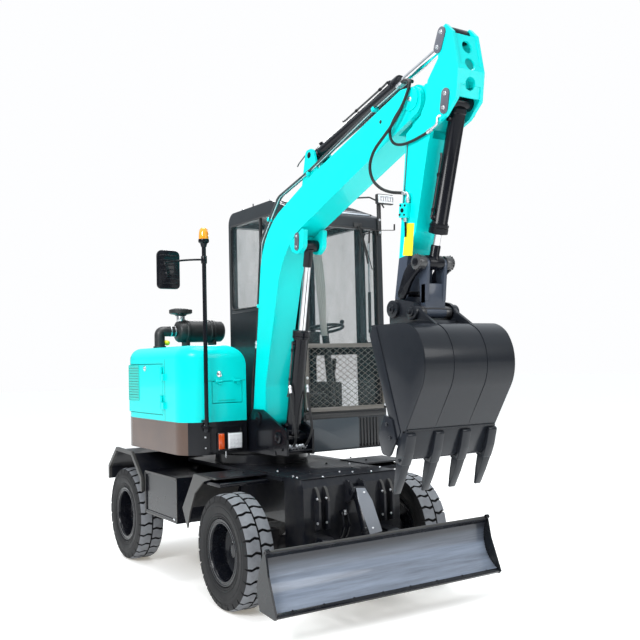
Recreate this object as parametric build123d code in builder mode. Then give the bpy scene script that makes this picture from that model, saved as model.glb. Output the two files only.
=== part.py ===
from build123d import *
from math import hypot
import os

os.makedirs("parts", exist_ok=True)

# A compact wheeled excavator, in millimetres: +X forward, +Y to its left, +Z up, ground at z = 0.
# Places below are measured from the datum: the middle of the wheelbase, on the ground.
# The datum itself lies so that the origin is under the middle of the whole machine's box.
datum_x = -760
datum_y = 65

# Wheels and axles
wheelbase = 2100
axle_height = 430
tyre_diameter = 860
tyre_width = 235
wheel_track = 1625
rim_radius = 215
dish_radius = 168
kingpin_y = 600
spindle_radius = 40
running_gap = 0.05
hub_face_y = 722
lug_count = 20
lug_height = 24
lug_length = 100
lug_gap = 4

# Chassis
frame_half_width = 300
frame_bottom = 560
deck_top = 960
axle_to_box = 130
front_box_length = 280
rear_overhang = 280
front_box_half_width = 445
ring_radius = 420
deck_half_width = 470
ring_top = 1040
deck_length = 580
outer_side_y = 930
side_box_x = (-wheelbase / 2 + 475, wheelbase / 2 - 885)
side_box_y = 900
side_box_z = (505, 885)
tie_eye_y = 200
tie_eye_radius = 20
tie_eye_reach = 90

tie_eye_z = (640, 665)
front_box_x = (wheelbase / 2 + axle_to_box, wheelbase / 2 + axle_to_box + front_box_length)
frame_rear_x = -wheelbase / 2 - rear_overhang

# Blade
blade_half_width = 1000
blade_pivot = (front_box_x[1] + 75, 475)
blade_cylinder_base = (front_box_x[1] + 65, 850)
blade_cylinder_eye = (front_box_x[1] + 255, 385)
blade_plate = 14
board_x = front_box_x[1] + 410
blade_arm_y = 300

# Upper structure
skirt_bottom = 1070
skirt_top = 1345
hood_top = 2000
side_y = 860
front_corner_x = 285
hood_inner_y = -292
sheet = 25

# Cab
cab_x = (-600, 750)
cab_y = (5, 870)
cab_floor = 1110
sill_height = 1410
guard_height = 580
roof_top = 3300
roof_bend_x = 250
screen_top = 3120
pillar = 60

# Working arm, seen from the right: places are (x, z)
arm_centre_y = -140
boom_half_width = 110
boom_foot = (450, 1360)
boom_tip = (2605, 3530)
boom_ear = (1130, 2765)
boom_cylinder_base = (800, 1220)
arm_cylinder_base = (1290, 3455)
arm_head_pin = (2920, 3860)
bucket_cylinder_base = (2940, 3430)
bucket_pin = (2430, 2170)
rocker_pin = (2470, 2270)
link_pin = (2645, 2460)
coupler_pin = (2630, 2140)
bucket_half_width = 370
pin_radius = 25
foot_pin_radius = 32
side_gap = 0.5
ear_gap = 135
link_boss_radius = 48


def spot(x, y, z):
    return (datum_x + x, datum_y + y, z)


def slab(x, y, z, mode=Mode.ADD):
    # A box between low and high x, y and z.
    with Locations(spot((x[0] + x[1]) / 2, (y[0] + y[1]) / 2, (z[0] + z[1]) / 2)):
        Box(x[1] - x[0], y[1] - y[0], z[1] - z[0], mode=mode)


def side_plate(outline, y, corners=0, mode=Mode.ADD):
    # A plate across y whose outline is (x, z) points seen from the right.
    with BuildSketch(Plane(origin=spot(0, y[1], 0), x_dir=(1, 0, 0), z_dir=(0, -1, 0))) as face:
        with BuildLine():
            if corners:
                FilletPolyline(*outline, radius=corners, close=True)
            else:
                Polyline(*outline, close=True)
        make_face()
    extrude(face.sketch, amount=y[1] - y[0], mode=mode)


def cross_plate(outline, x, corners=0, mode=Mode.ADD):
    # A plate across x whose outline is (y, z) points.
    with BuildSketch(Plane(origin=spot(x[0], 0, 0), x_dir=(0, 1, 0), z_dir=(1, 0, 0))) as face:
        with BuildLine():
            if corners:
                FilletPolyline(*outline, radius=corners, close=True)
            else:
                Polyline(*outline, close=True)
        make_face()
    extrude(face.sketch, amount=x[1] - x[0], mode=mode)


def flat_plate(outline, z, corners=0, mode=Mode.ADD):
    # A level plate whose outline is (x, y) points.
    with BuildSketch(Plane(origin=spot(0, 0, z[0]))) as face:
        with BuildLine():
            if corners:
                FilletPolyline(*outline, radius=corners, close=True)
            else:
                Polyline(*outline, close=True)
        make_face()
    extrude(face.sketch, amount=z[1] - z[0], mode=mode)


def cross_pin(place, y, radius, mode=Mode.ADD):
    # A round bar along y at an (x, z) place.
    with Locations(Location(spot(place[0], (y[0] + y[1]) / 2, place[1]), (90, 0, 0))):
        Cylinder(radius, y[1] - y[0], mode=mode)


def post(x, y, z, radius, mode=Mode.ADD):
    # An upright round bar.
    with Locations(spot(x, y, (z[0] + z[1]) / 2)):
        Cylinder(radius, z[1] - z[0], mode=mode)


def bar(start, end, radius, mode=Mode.ADD):
    # A round bar between two (x, y, z) points.
    run = Vector(*end) - Vector(*start)
    with Locations(Plane(origin=spot(*start), z_dir=run).location):
        Cylinder(radius, run.length, align=(Align.CENTER, Align.CENTER, Align.MIN), mode=mode)


def turned(x, z, side, outline, mode=Mode.ADD):
    # A ring about the wheel's axis: outline is (radius, distance out from the centreline) points.
    with BuildSketch(Plane(origin=spot(x, 0, z), x_dir=(1, 0, 0), z_dir=(0, 0, 1))) as face:
        with BuildLine():
            Polyline(*[(r, side * out) for r, out in outline], close=True)
        make_face()
    revolve(face.sketch, axis=Axis(spot(x, 0, z), (0, 1, 0)), mode=mode)


def upright_hinge(x, y, z, reach, wall_y, pin=False):
    # Half a door hinge: a knuckle on an upright axis and a leaf that reaches to the door or wall.
    post(x, y, z, 12)
    slab(sorted((x, x + reach)), sorted((wall_y, y + (8 if y > wall_y else -8))), z)
    if pin:
        post(x, y, (z[0] - 60, z[0] + 1), 6)
    else:
        post(x, y, (z[0] - 1, z[1] + 1), 6 + running_gap, mode=Mode.SUBTRACT)


def arm_y(half_width):
    return (arm_centre_y - half_width, arm_centre_y + half_width)


def along(start, end, distance):
    # The (x, z) point at a distance from start towards end.
    run = hypot(end[0] - start[0], end[1] - start[1])
    return tuple(a + (b - a) * distance / run for a, b in zip(start, end))


def flat_bar(start, end, radius, y, from_start, from_end, mode=Mode.ADD):
    # A round bar in the arm's plane between two (x, z) pins, cut short by a distance at each end.
    a = along(start, end, from_start)
    b = along(end, start, from_end)
    bar((a[0], y, a[1]), (b[0], y, b[1]), radius, mode)


wheel_places = {
    "front_left": (wheelbase / 2, 1),
    "front_right": (wheelbase / 2, -1),
    "rear_left": (-wheelbase / 2, 1),
    "rear_right": (-wheelbase / 2, -1),
}
tyre_radius = tyre_diameter / 2
wheel_y = wheel_track / 2
half_tyre = tyre_width / 2

# Tyres and rims: two rows of lugs, the inner row half a step behind the outer one
tread_radius = tyre_radius - lug_height
lug_top = tyre_radius - 3
for place, (axle_x, side) in wheel_places.items():
    with BuildPart() as tyre:
        turned(axle_x, axle_height, side, [
            (rim_radius + 0.3, wheel_y - half_tyre + 30), (rim_radius + 0.3, wheel_y + half_tyre - 30),
            (rim_radius + 36, wheel_y + half_tyre - 28), (rim_radius + 44, wheel_y + half_tyre - 6),
            (tyre_radius - 110, wheel_y + half_tyre),
            (tread_radius - 30, wheel_y + half_tyre - 2), (tread_radius, wheel_y + half_tyre - 22),
            (tread_radius, wheel_y - half_tyre + 22), (tread_radius - 30, wheel_y - half_tyre + 2),
            (tyre_radius - 110, wheel_y - half_tyre), (rim_radius + 44, wheel_y - half_tyre + 6),
            (rim_radius + 36, wheel_y - half_tyre + 28)])
        for out in (-1, 1):
            with BuildPart(mode=Mode.PRIVATE) as lug:
                with BuildSketch(Plane(origin=(0, 0, 0), x_dir=(1, 0, 0), z_dir=(0, 0, 1))):
                    with BuildLine():
                        Polyline(*[(r, side * wheel_y + out * a) for r, a in (
                            (tread_radius - 4, lug_gap), (lug_top, lug_gap), (lug_top - 4, half_tyre - 10),
                            (tread_radius - 26, half_tyre - 4))], close=True)
                    make_face()
                extrude(amount=lug_length / 2, both=True)
            turns = [360 / lug_count * (step + (0.5 if out == side else 0)) for step in range(lug_count)]
            with Locations(*[Location(spot(axle_x, 0, axle_height), (0, turn, 0)) for turn in turns]):
                add(lug.part)
    tyre.part.label = "tyre_" + place
    export_step(tyre.part, "parts/tyre_" + place + ".step")

    with BuildPart() as rim:
        flange_out = wheel_y + half_tyre - 29.7
        flange_in = wheel_y - half_tyre + 29.7
        turned(axle_x, axle_height, side, [
            (rim_radius, flange_in), (rim_radius, flange_out),
            (rim_radius + 34, flange_out + 2.7), (rim_radius + 34, flange_out + 12),
            (rim_radius - 8, flange_out + 18), (rim_radius - 12, hub_face_y + 60),
            (dish_radius, hub_face_y + 40), (dish_radius - 70, hub_face_y + 38),
            (dish_radius - 76, hub_face_y + 80), (spindle_radius + running_gap, hub_face_y + 84),
            (spindle_radius + running_gap, hub_face_y + 0.3), (dish_radius - 60, hub_face_y + 0.3),
            (dish_radius - 50, hub_face_y + 26), (rim_radius - 12, hub_face_y + 28),
            (rim_radius - 12, flange_in - 10), (rim_radius + 34, flange_in - 12),
            (rim_radius + 34, flange_in - 2.7)])
    rim.part.label = "rim_" + place
    export_step(rim.part, "parts/rim_" + place + ".step")

# Knuckles that steer the front wheels, with their spindles
kingpin_low = axle_height - 125
kingpin_high = axle_height + 125
fork_gap = 92
for place, side in {"left": 1, "right": -1}.items():
    with BuildPart() as knuckle:
        x = wheelbase / 2
        post(x, side * kingpin_y, (axle_height - fork_gap + 0.5, axle_height + fork_gap - 0.5), 62)
        ends = sorted((side * (kingpin_y + 40), side * hub_face_y))
        cross_pin((x, axle_height), ends, 84)
        ends = sorted((side * (kingpin_y + 40), side * (hub_face_y + 100)))
        cross_pin((x, axle_height), ends, spindle_radius)
        slab((x - 190, x), sorted((side * (kingpin_y - 25), side * (kingpin_y + 25))),
             (axle_height - 80, axle_height - 50))
        post(x - 170, side * kingpin_y, (axle_height - 90, axle_height - 40), 28)
    knuckle.part.label = "knuckle_" + place
    export_step(knuckle.part, "parts/knuckle_" + place + ".step")

with BuildPart() as tie_rod:
    rod_z = axle_height - 108
    bar((wheelbase / 2 - 170, -kingpin_y, rod_z), (wheelbase / 2 - 170, kingpin_y, rod_z), 17)
    for side in (-1, 1):
        post(wheelbase / 2 - 170, side * kingpin_y, (rod_z - 26, axle_height - 90.3), 24)
tie_rod.part.label = "tie_rod"
export_step(tie_rod.part, "parts/tie_rod.step")

# Axles
with BuildPart() as front_axle:
    x = wheelbase / 2
    cross_pin((x, axle_height), (-kingpin_y + 130, kingpin_y - 130), 62)
    with Locations(spot(x, 60, axle_height)):
        Sphere(125)
    slab((x - 80, x + 80), (-frame_half_width + 60, frame_half_width - 60), (axle_height, frame_bottom))
    for side in (-1, 1):
        slab((x - 55, x + 55), sorted((side * (kingpin_y - 145), side * (kingpin_y - 85))),
             (kingpin_low, kingpin_high))
        for low, high in ((kingpin_low, axle_height - fork_gap), (axle_height + fork_gap, kingpin_high)):
            slab((x - 50, x + 50), sorted((side * (kingpin_y - 100), side * kingpin_y)), (low, high))
            post(x, side * kingpin_y, (low, high), 50)
front_axle.part.label = "front_axle"
export_step(front_axle.part, "parts/front_axle.step")

with BuildPart() as rear_axle:
    x = -wheelbase / 2
    cross_pin((x, axle_height), (-hub_face_y + 30, hub_face_y - 30), 66)
    with Locations(spot(x, 60, axle_height)):
        Sphere(125)
    for side in (-1, 1):
        cross_pin((x, axle_height), sorted((side * (hub_face_y - 60), side * hub_face_y)), 100)
        cross_pin((x, axle_height), sorted((side * hub_face_y, side * (hub_face_y + 100))), spindle_radius)
        slab((x - 60, x + 60), sorted((side * 190, side * 270)), (axle_height, frame_bottom))
rear_axle.part.label = "rear_axle"
export_step(rear_axle.part, "parts/rear_axle.step")

# Chassis frame: centre box, front box with the blade's brackets, deck and turntable ring
with BuildPart() as chassis_frame:
    slab((frame_rear_x, front_box_x[0]), (-frame_half_width, frame_half_width), (frame_bottom, deck_top - 30))
    side_plate([(front_box_x[0] - 1, deck_top), (front_box_x[0] - 1, 400), (front_box_x[1] - 40, 400),
                (front_box_x[1], 470), (front_box_x[1], 900), (front_box_x[1] - 40, deck_top)],
               (-front_box_half_width, front_box_half_width))
    slab((frame_rear_x, -deck_length), (-frame_half_width, frame_half_width), (deck_top - 31, deck_top))
    slab((-deck_length - 1, front_box_x[0]), (-deck_half_width, deck_half_width), (deck_top - 31, deck_top))
    post(0, 0, (deck_top, ring_top), ring_radius)
    for side in (-1, 1):
        for out in (-40, 40):
            y = side * blade_arm_y + out
            side_plate([(front_box_x[1] - 1, 580), (front_box_x[1] - 1, 900), (front_box_x[1] + 25, 880),
                        (front_box_x[1] + 60, 800), (front_box_x[1] + 60, 600)], (y - 9, y + 9))
    for y in (-60, 60):
        side_plate([(front_box_x[1] - 1, 760), (front_box_x[1] - 1, 935), (front_box_x[1] + 60, 920),
                    (front_box_x[1] + 105, 850), (front_box_x[1] + 60, 780)], (y - 9, y + 9))
    cross_pin(blade_cylinder_base, (-70, 70), pin_radius + running_gap, mode=Mode.SUBTRACT)
    for side in (-1, 1):
        y = sorted((side * (blade_arm_y - 50), side * (blade_arm_y + 50)))
        cross_pin(blade_pivot, y, 60)
        slab((front_box_x[1] - 1, blade_pivot[0]), y, (blade_pivot[1] - 60, blade_pivot[1] + 60))
        cross_pin(blade_pivot, sorted((side * (blade_arm_y - 52), side * (blade_arm_y + 52))),
                  pin_radius + running_gap, mode=Mode.SUBTRACT)
    for side in (-1, 1):
        y = (side * tie_eye_y - 45, side * tie_eye_y + 45)
        slab((frame_rear_x - tie_eye_reach, frame_rear_x + 1), y, tie_eye_z)
        post(frame_rear_x - tie_eye_reach + 45, side * tie_eye_y, (tie_eye_z[0] - 1, tie_eye_z[1] + 1),
             tie_eye_radius, mode=Mode.SUBTRACT)
chassis_frame.part.label = "chassis_frame"
export_step(chassis_frame.part, "parts/chassis_frame.step")

# Mudguards: two at the rear with a banded edge, two at the front with a side gusset
rear_x = -wheelbase / 2
front_x = wheelbase / 2
rear_arch = [(rear_x + out, z) for out, z in (
    (-430, 720), (-430, 830), (-210, 1010), (190, 1000), (420, 800), (430, 690))]
with BuildPart() as mudguards:
    for side in (-1, 1):
        outer_band = rear_arch + [(rear_x + out, z) for out, z in (
            (465, 690), (457, 818), (203, 1035), (-222, 1045), (-465, 847), (-465, 720))]
        side_plate(outer_band, sorted((side * (outer_side_y - 25), side * outer_side_y)))
        side_plate(rear_arch + [(rear_x + out, z) for out, z in (
            (442, 690), (432, 806), (195, 1012), (-214, 1022), (-442, 836), (-442, 720))],
                   sorted((side * (frame_half_width + 0.3), side * (outer_side_y - 20))))
        side_plate([(front_x + out, z) for out, z in (
            (-610, 520), (-705, 670), (-464, 969), (-145, 957), (-290, 925), (-450, 820), (-550, 660))],
                   sorted((side * (outer_side_y - 12), side * outer_side_y)))
        side_plate([(front_x + out, z) for out, z in (
            (-470, 957), (-90, 957), (-90, 969), (-464, 969), (-705, 670), (-694, 664))],
                   sorted((side * (deck_half_width + 0.3), side * (outer_side_y - 10))))
mudguards.part.label = "mudguards"
export_step(mudguards.part, "parts/mudguards.step")

with BuildPart() as side_boxes:
    for side in (-1, 1):
        slab(side_box_x, sorted((side * (frame_half_width + 0.3), side * side_box_y)), side_box_z)
        slab((side_box_x[0] + 30, side_box_x[1] - 30), sorted((side * (side_box_y - 8), side * (side_box_y + 1))),
             (side_box_z[0] + 30, side_box_z[1] - 30), mode=Mode.SUBTRACT)
side_boxes.part.label = "side_boxes"
export_step(side_boxes.part, "parts/side_boxes.step")

# Blade: curved board, side plates and two arms back to the pivots
with BuildPart() as blade:
    with BuildSketch(Plane(origin=spot(0, blade_half_width, 0), x_dir=(1, 0, 0), z_dir=(0, -1, 0))) as face:
        with BuildLine():
            front = ThreePointArc((board_x, 580), (board_x - 42, 390), (board_x + 130, 190))
            Line(front @ 1, (board_x + 115, 175))
            back = ThreePointArc((board_x + 115, 175), (board_x - 60, 388), (board_x - 18, 584))
            Line(back @ 1, front @ 0)
        make_face()
    extrude(face.sketch, amount=2 * blade_half_width)
    for side in (-1, 1):
        side_plate([(board_x + out, z) for out, z in (
            (-20, 584), (4, 580), (35, 430), (133, 190), (115, 170), (-90, 185), (-130, 330), (-70, 500))],
                   sorted((side * (blade_half_width - blade_plate), side * blade_half_width)))
        inner = side * (blade_arm_y - 50.5)
        for y in ((side * (blade_arm_y + 72), side * (blade_arm_y + 50.5)), (inner, inner - side * 21.5)):
            cross_pin(blade_pivot, sorted(y), 48)
            side_plate([(blade_pivot[0] - 5, 518), (board_x - 55, 500), (board_x - 42, 300), (board_x - 90, 240),
                        (blade_pivot[0] - 5, 422)], sorted(y))
        cross_pin(blade_pivot, sorted((side * (blade_arm_y - 72), side * (blade_arm_y + 72))), pin_radius)
    for y in (-60, 60):
        eye_x, eye_z = blade_cylinder_eye
        side_plate([(eye_x - 45, eye_z), (eye_x, eye_z + 47), (board_x - 58, 470), (board_x - 42, 300),
                    (eye_x, eye_z - 47)], (y - 9, y + 9))
blade.part.label = "blade"
export_step(blade.part, "parts/blade.step")

with BuildPart() as blade_barrel:
    cross_pin(blade_cylinder_base, (-50.5, 50.5), 38)
    cross_pin(blade_cylinder_base, (-72, 72), pin_radius)
    flat_bar(blade_cylinder_base, blade_cylinder_eye, 45, 0, 20, 150)
    flat_bar(blade_cylinder_base, blade_cylinder_eye, 22.05, 0, 60, 140, mode=Mode.SUBTRACT)
blade_barrel.part.label = "blade_barrel"
export_step(blade_barrel.part, "parts/blade_barrel.step")

with BuildPart() as blade_rod:
    flat_bar(blade_cylinder_base, blade_cylinder_eye, 22, 0, 190, 10)
    cross_pin(blade_cylinder_eye, (-50.5, 50.5), 34)
blade_rod.part.label = "blade_rod"
export_step(blade_rod.part, "parts/blade_rod.step")

# Upper structure
bracket_gap = boom_half_width + 1
tray = [(-1180, 640), (-1180, -640), (-700, -820), (60, -820), (245, -640), (245, hood_inner_y + 15),
        (-600, hood_inner_y + 15), (-600, 700)]
with BuildPart() as platform:
    with BuildSketch(Plane(origin=spot(0, 0, skirt_bottom + 10))) as face:
        with BuildLine():
            Polyline(*tray, close=True)
        make_face()
        offset(amount=-0.3, kind=Kind.INTERSECTION)
    extrude(face.sketch, amount=29)
    slab((-599.7, cab_x[1]), (hood_inner_y + 15.3, cab_y[1]), (skirt_bottom, skirt_bottom + 39))
    post(0, 0, (ring_top + 0.3, skirt_bottom + 11), ring_radius - 40)
    for side in (-1, 1):
        y = sorted((arm_centre_y + side * bracket_gap, arm_centre_y + side * (bracket_gap + 20)))
        side_plate([(150, skirt_bottom + 12), (150, 1200), (360, 1440), (520, 1440), (930, 1280),
                    (930, skirt_bottom + 12)], y)
    slab((200, 300), arm_y(bracket_gap + 1), (skirt_bottom + 38, 1230))
    cross_pin(boom_foot, arm_y(bracket_gap + 30), foot_pin_radius + running_gap, mode=Mode.SUBTRACT)
    cross_pin(boom_cylinder_base, arm_y(bracket_gap + 30), pin_radius + running_gap, mode=Mode.SUBTRACT)
platform.part.label = "platform"
export_step(platform.part, "parts/platform.step")

plan = [(front_corner_x, hood_inner_y), (front_corner_x, -side_y), (-1100, -side_y), (-1540, -480),
        (-1540, 480), (-1100, side_y), (-620, side_y), (-620, hood_inner_y)]
plan_radii = [1, 230, 300, 500, 500, 300, 1, 1]
with BuildPart() as counterweight:
    flat_plate(plan, (skirt_bottom, skirt_top), plan_radii)
    flat_plate(tray, (skirt_bottom - 1, skirt_top + 1), mode=Mode.SUBTRACT)
counterweight.part.label = "counterweight"
export_step(counterweight.part, "parts/counterweight.step")

side_door_x = (-1080, -220)
side_door_z = (1395, 1850)
with BuildPart() as hood:
    flat_plate(plan, (skirt_top + 0.3, hood_top), plan_radii)
    fillet(hood.faces().sort_by(Axis.Z)[-1].edges(), 110)
    edge_y = hood_inner_y + 0.5
    edge_z = hood_top + 0.5
    cross_plate([(edge_y, edge_z - 260), (edge_y, edge_z), (edge_y - 260, edge_z), (edge_y - 260, edge_z + 20),
                 (edge_y + 20, edge_z + 20), (edge_y + 20, edge_z - 260)], (-621, front_corner_x + 1),
                [1, 190, 1, 1, 1, 1], mode=Mode.SUBTRACT)
    flat_plate([(front_corner_x - sheet, hood_inner_y - sheet), (front_corner_x - sheet, -side_y + sheet),
                (-1090, -side_y + sheet), (-1500, -460), (-1500, 460), (-1090, side_y - sheet),
                (-640, side_y - sheet), (-640, hood_inner_y - sheet)],
               (skirt_top - 1, hood_top - 120), [1, 200, 280, 480, 480, 280, 1, 1], mode=Mode.SUBTRACT)
    slab(side_door_x, (-side_y - 10, -side_y + sheet + 10), side_door_z, mode=Mode.SUBTRACT)
    slab((front_corner_x - sheet - 10, front_corner_x + 10), (-620, -330), (1500, 1690), mode=Mode.SUBTRACT)
    for z in (1450, 1700):
        upright_hinge(side_door_x[1] - 3, -side_y - 12.3, (z, z + 60), 60, -side_y)
    for y in (-590, -420):
        with Locations(Location(spot(front_corner_x + 12.3, y + 15, 1690), (90, 0, 0))):
            Cylinder(12, 30)
        slab((front_corner_x - 1, front_corner_x + 12), (y, y + 30), (1692, 1715))
        with Locations(Location(spot(front_corner_x + 12.3, y + 15, 1690), (90, 0, 0))):
            Cylinder(6 + running_gap, 32, mode=Mode.SUBTRACT)
hood.part.label = "hood"
export_step(hood.part, "parts/hood.step")

with BuildPart() as side_door:
    slab((side_door_x[0] + 5, side_door_x[1] - 5), (-side_y, -side_y + 20),
         (side_door_z[0] + 5, side_door_z[1] - 5))
    for z in (1450, 1700):
        upright_hinge(side_door_x[1] - 3, -side_y - 12.3, (z + 60.3, z + 120), -60, -side_y, pin=True)
side_door.part.label = "side_door"
export_step(side_door.part, "parts/side_door.step")

with BuildPart() as front_lid:
    slab((front_corner_x - 20, front_corner_x), (-615, -335), (1505, 1685))
    for y in (-590, -420):
        with Locations(Location(spot(front_corner_x + 12.3, y + 45.3, 1690), (90, 0, 0))):
            Cylinder(12, 30)
        with Locations(Location(spot(front_corner_x + 12.3, y + 30, 1690), (90, 0, 0))):
            Cylinder(6, 56)
        slab((front_corner_x - 1, front_corner_x + 12), (y + 30.3, y + 60.3), (1660, 1685))
front_lid.part.label = "front_lid"
export_step(front_lid.part, "parts/front_lid.step")

with BuildPart() as engine:
    slab((-1150, -650), (-550, 450), (skirt_bottom + 39.3, 1750))
engine.part.label = "engine"
export_step(engine.part, "parts/engine.step")

air_cleaner_x = -800
air_cleaner_z = hood_top + 160
with BuildPart() as air_cleaner:
    bar((air_cleaner_x, -480, air_cleaner_z), (air_cleaner_x, 12, air_cleaner_z), 115)
    bar((air_cleaner_x, -650, air_cleaner_z), (air_cleaner_x, -479, air_cleaner_z), 52)
    post(air_cleaner_x, -650, (hood_top + 0.3, air_cleaner_z), 52)
    for y in (-380, -100):
        slab((air_cleaner_x - 70, air_cleaner_x + 70), (y - 15, y + 15), (hood_top + 0.3, air_cleaner_z - 60))
    post(air_cleaner_x, -430, (air_cleaner_z + 60, air_cleaner_z + 150), 42)
    post(air_cleaner_x, -430, (air_cleaner_z + 149, air_cleaner_z + 230), 112)
air_cleaner.part.label = "air_cleaner"
export_step(air_cleaner.part, "parts/air_cleaner.step")

with BuildPart() as beacon_pole:
    post(front_corner_x + 60, -700, (1310, 2860), 19)
    slab((front_corner_x - 7, front_corner_x + 60), (-712, -688), (1315, 1340))
    post(front_corner_x + 60, -700, (2859, 2990), 48)
    bar((front_corner_x + 60, -700, 2720), (front_corner_x + 40, -1000, 2700), 11)
    slab((front_corner_x + 20, front_corner_x + 60), (-1120, -915), (2460, 2785))
beacon_pole.part.label = "beacon_pole"
export_step(beacon_pole.part, "parts/beacon_pole.step")

# Cab
door_x = (-480, 420)
glass_low = 2360
glass_high = screen_top - 110
side_pane = [(cab_x[0] + pillar, glass_low), (cab_x[0] + pillar, roof_top - 130), (roof_bend_x, roof_top - 130),
             (cab_x[1] - pillar, glass_high), (cab_x[1] - pillar, glass_low)]
with BuildPart() as cab:
    side_plate([(cab_x[0], skirt_bottom + 39.3), (cab_x[0], roof_top), (roof_bend_x, roof_top),
                (cab_x[1], screen_top), (cab_x[1], skirt_bottom + 39.3)], cab_y, [1, 110, 200, 45, 1])
    side_plate([(cab_x[0] + pillar, cab_floor + 30), (cab_x[0] + pillar, roof_top - 60),
                (roof_bend_x, roof_top - 60), (cab_x[1] - pillar, screen_top - 45),
                (cab_x[1] - pillar, cab_floor + 30)], (cab_y[0] + pillar, cab_y[1] - pillar), mode=Mode.SUBTRACT)
    slab((cab_x[1] - pillar - 1, cab_x[1] + 1), (cab_y[0] + pillar, cab_y[1] - pillar),
         (sill_height, glass_high), mode=Mode.SUBTRACT)
    slab((cab_x[0] - 1, cab_x[0] + pillar + 1), (cab_y[0] + pillar, cab_y[1] - pillar),
         (glass_low, roof_top - 130), mode=Mode.SUBTRACT)
    side_plate(side_pane, (cab_y[0] - 1, cab_y[0] + pillar + 1), 40, mode=Mode.SUBTRACT)
    slab(door_x, (cab_y[1] - pillar - 1, cab_y[1] + 1), (cab_floor + 35, roof_top - 160),
         mode=Mode.SUBTRACT)
    slab((door_x[1] + 50, cab_x[1] - pillar), (cab_y[1] - pillar - 1, cab_y[1] + 1),
         (2000, glass_high), mode=Mode.SUBTRACT)
    for z in (1400, 2500):
        upright_hinge(door_x[0] - 10, cab_y[1] + 12.3, (z, z + 60), -60, cab_y[1])
cab.part.label = "cab"
export_step(cab.part, "parts/cab.step")

with BuildPart() as cab_glass:
    slab((cab_x[1] - 36, cab_x[1] - 30), (cab_y[0] + pillar + 0.3, cab_y[1] - pillar - 0.3),
         (sill_height + 0.3, glass_high - 0.3))
    slab((cab_x[0] + 30, cab_x[0] + 36), (cab_y[0] + pillar + 0.3, cab_y[1] - pillar - 0.3),
         (glass_low + 0.3, roof_top - 130.3))
    with BuildSketch(Plane(origin=spot(0, cab_y[0] + 26, 0), x_dir=(1, 0, 0), z_dir=(0, -1, 0))) as face:
        with BuildLine():
            FilletPolyline(*side_pane, radius=40, close=True)
        make_face()
        offset(amount=-0.3)
    extrude(face.sketch, amount=6)
    slab((door_x[1] + 50.3, cab_x[1] - pillar - 0.3), (cab_y[1] - 26, cab_y[1] - 20),
         (2000.3, glass_high - 0.3))
cab_glass.part.label = "cab_glass"
export_step(cab_glass.part, "parts/cab_glass.step")

door_z = (cab_floor + 40, roof_top - 165)
with BuildPart() as cab_door:
    slab((door_x[0] + 5, door_x[1] - 5), (cab_y[1] - 30, cab_y[1]), door_z)
    slab((door_x[0] + 60, door_x[1] - 60), (cab_y[1] - 31, cab_y[1] + 1), (2000, door_z[1] - 60),
         mode=Mode.SUBTRACT)
    slab((door_x[0] + 60, door_x[1] - 60), (cab_y[1] - 31, cab_y[1] + 1), (1350, 1900),
         mode=Mode.SUBTRACT)
    for z in (1400, 2500):
        upright_hinge(door_x[0] - 10, cab_y[1] + 12.3, (z + 60.3, z + 120), 60, cab_y[1], pin=True)
cab_door.part.label = "cab_door"
export_step(cab_door.part, "parts/cab_door.step")

with BuildPart() as door_glass:
    slab((door_x[0] + 60.3, door_x[1] - 60.3), (cab_y[1] - 20, cab_y[1] - 14), (2000.3, door_z[1] - 60.3))
    slab((door_x[0] + 60.3, door_x[1] - 60.3), (cab_y[1] - 20, cab_y[1] - 14), (1350.3, 1899.7))
door_glass.part.label = "door_glass"
export_step(door_glass.part, "parts/door_glass.step")

with BuildPart() as guard:
    slab((cab_x[1] + 0.3, cab_x[1] + 25), (cab_y[0] + 10, cab_y[1] - 10), (sill_height, sill_height + guard_height))
    slab((cab_x[1] - 1, cab_x[1] + 30), (cab_y[0] + 50, cab_y[1] - 50), (sill_height + 40, sill_height + guard_height - 40),
         mode=Mode.SUBTRACT)
    for step in range(1, 6):
        slab((cab_x[1] + 8, cab_x[1] + 14), (cab_y[0] + 45, cab_y[1] - 45),
             (sill_height + 40 + step * 82, sill_height + 46 + step * 82))
    for step in range(1, 9):
        slab((cab_x[1] + 8, cab_x[1] + 14), (cab_y[0] + 50 + step * 83, cab_y[0] + 56 + step * 83),
             (sill_height + 35, sill_height + guard_height - 35))
guard.part.label = "guard"
export_step(guard.part, "parts/guard.step")

with BuildPart() as operator_seat:
    slab((-350, 150), (210, 670), (cab_floor + 30.3, 1420))
    slab((-330, 150), (200, 680), (1419, 1540))
    side_plate([(-330, 1535), (-180, 1535), (-260, 2150), (-380, 2150)], (220, 660))
operator_seat.part.label = "operator_seat"
export_step(operator_seat.part, "parts/operator_seat.step")

with BuildPart() as controls:
    slab((-150, 200), (90, 190), (cab_floor + 30.3, 1650))
    slab((-150, 200), (690, 780), (cab_floor + 30.3, 1650))
    post(560, 440, (cab_floor + 30.3, cab_floor + 60), 60)
    bar((560, 440, cab_floor + 50), (430, 440, 1890), 35)
    with Locations(Plane(origin=spot(430, 440, 1890), z_dir=(-0.2, 0, 1)).location):
        Torus(170, 14)
    bar((430, 270, 1890), (430, 610, 1890), 12)
controls.part.label = "controls"
export_step(controls.part, "parts/controls.step")

with BuildPart() as lamps:
    slab((front_corner_x + 0.3, front_corner_x + 30), (-480, -340), (1100, 1250))
    slab((front_corner_x + 0.3, front_corner_x + 30), (-580, -500), (1100, 1250))
    slab((cab_x[1] + 0.3, cab_x[1] + 18), (cab_y[1] - 50, cab_y[1] - 10), (screen_top - 160, screen_top + 130))
    slab((cab_x[1] + 5, cab_x[1] + 60), (cab_y[1] - 70, cab_y[1] + 115), (screen_top + 120, screen_top + 215))
lamps.part.label = "lamps"
export_step(lamps.part, "parts/lamps.step")

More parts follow.
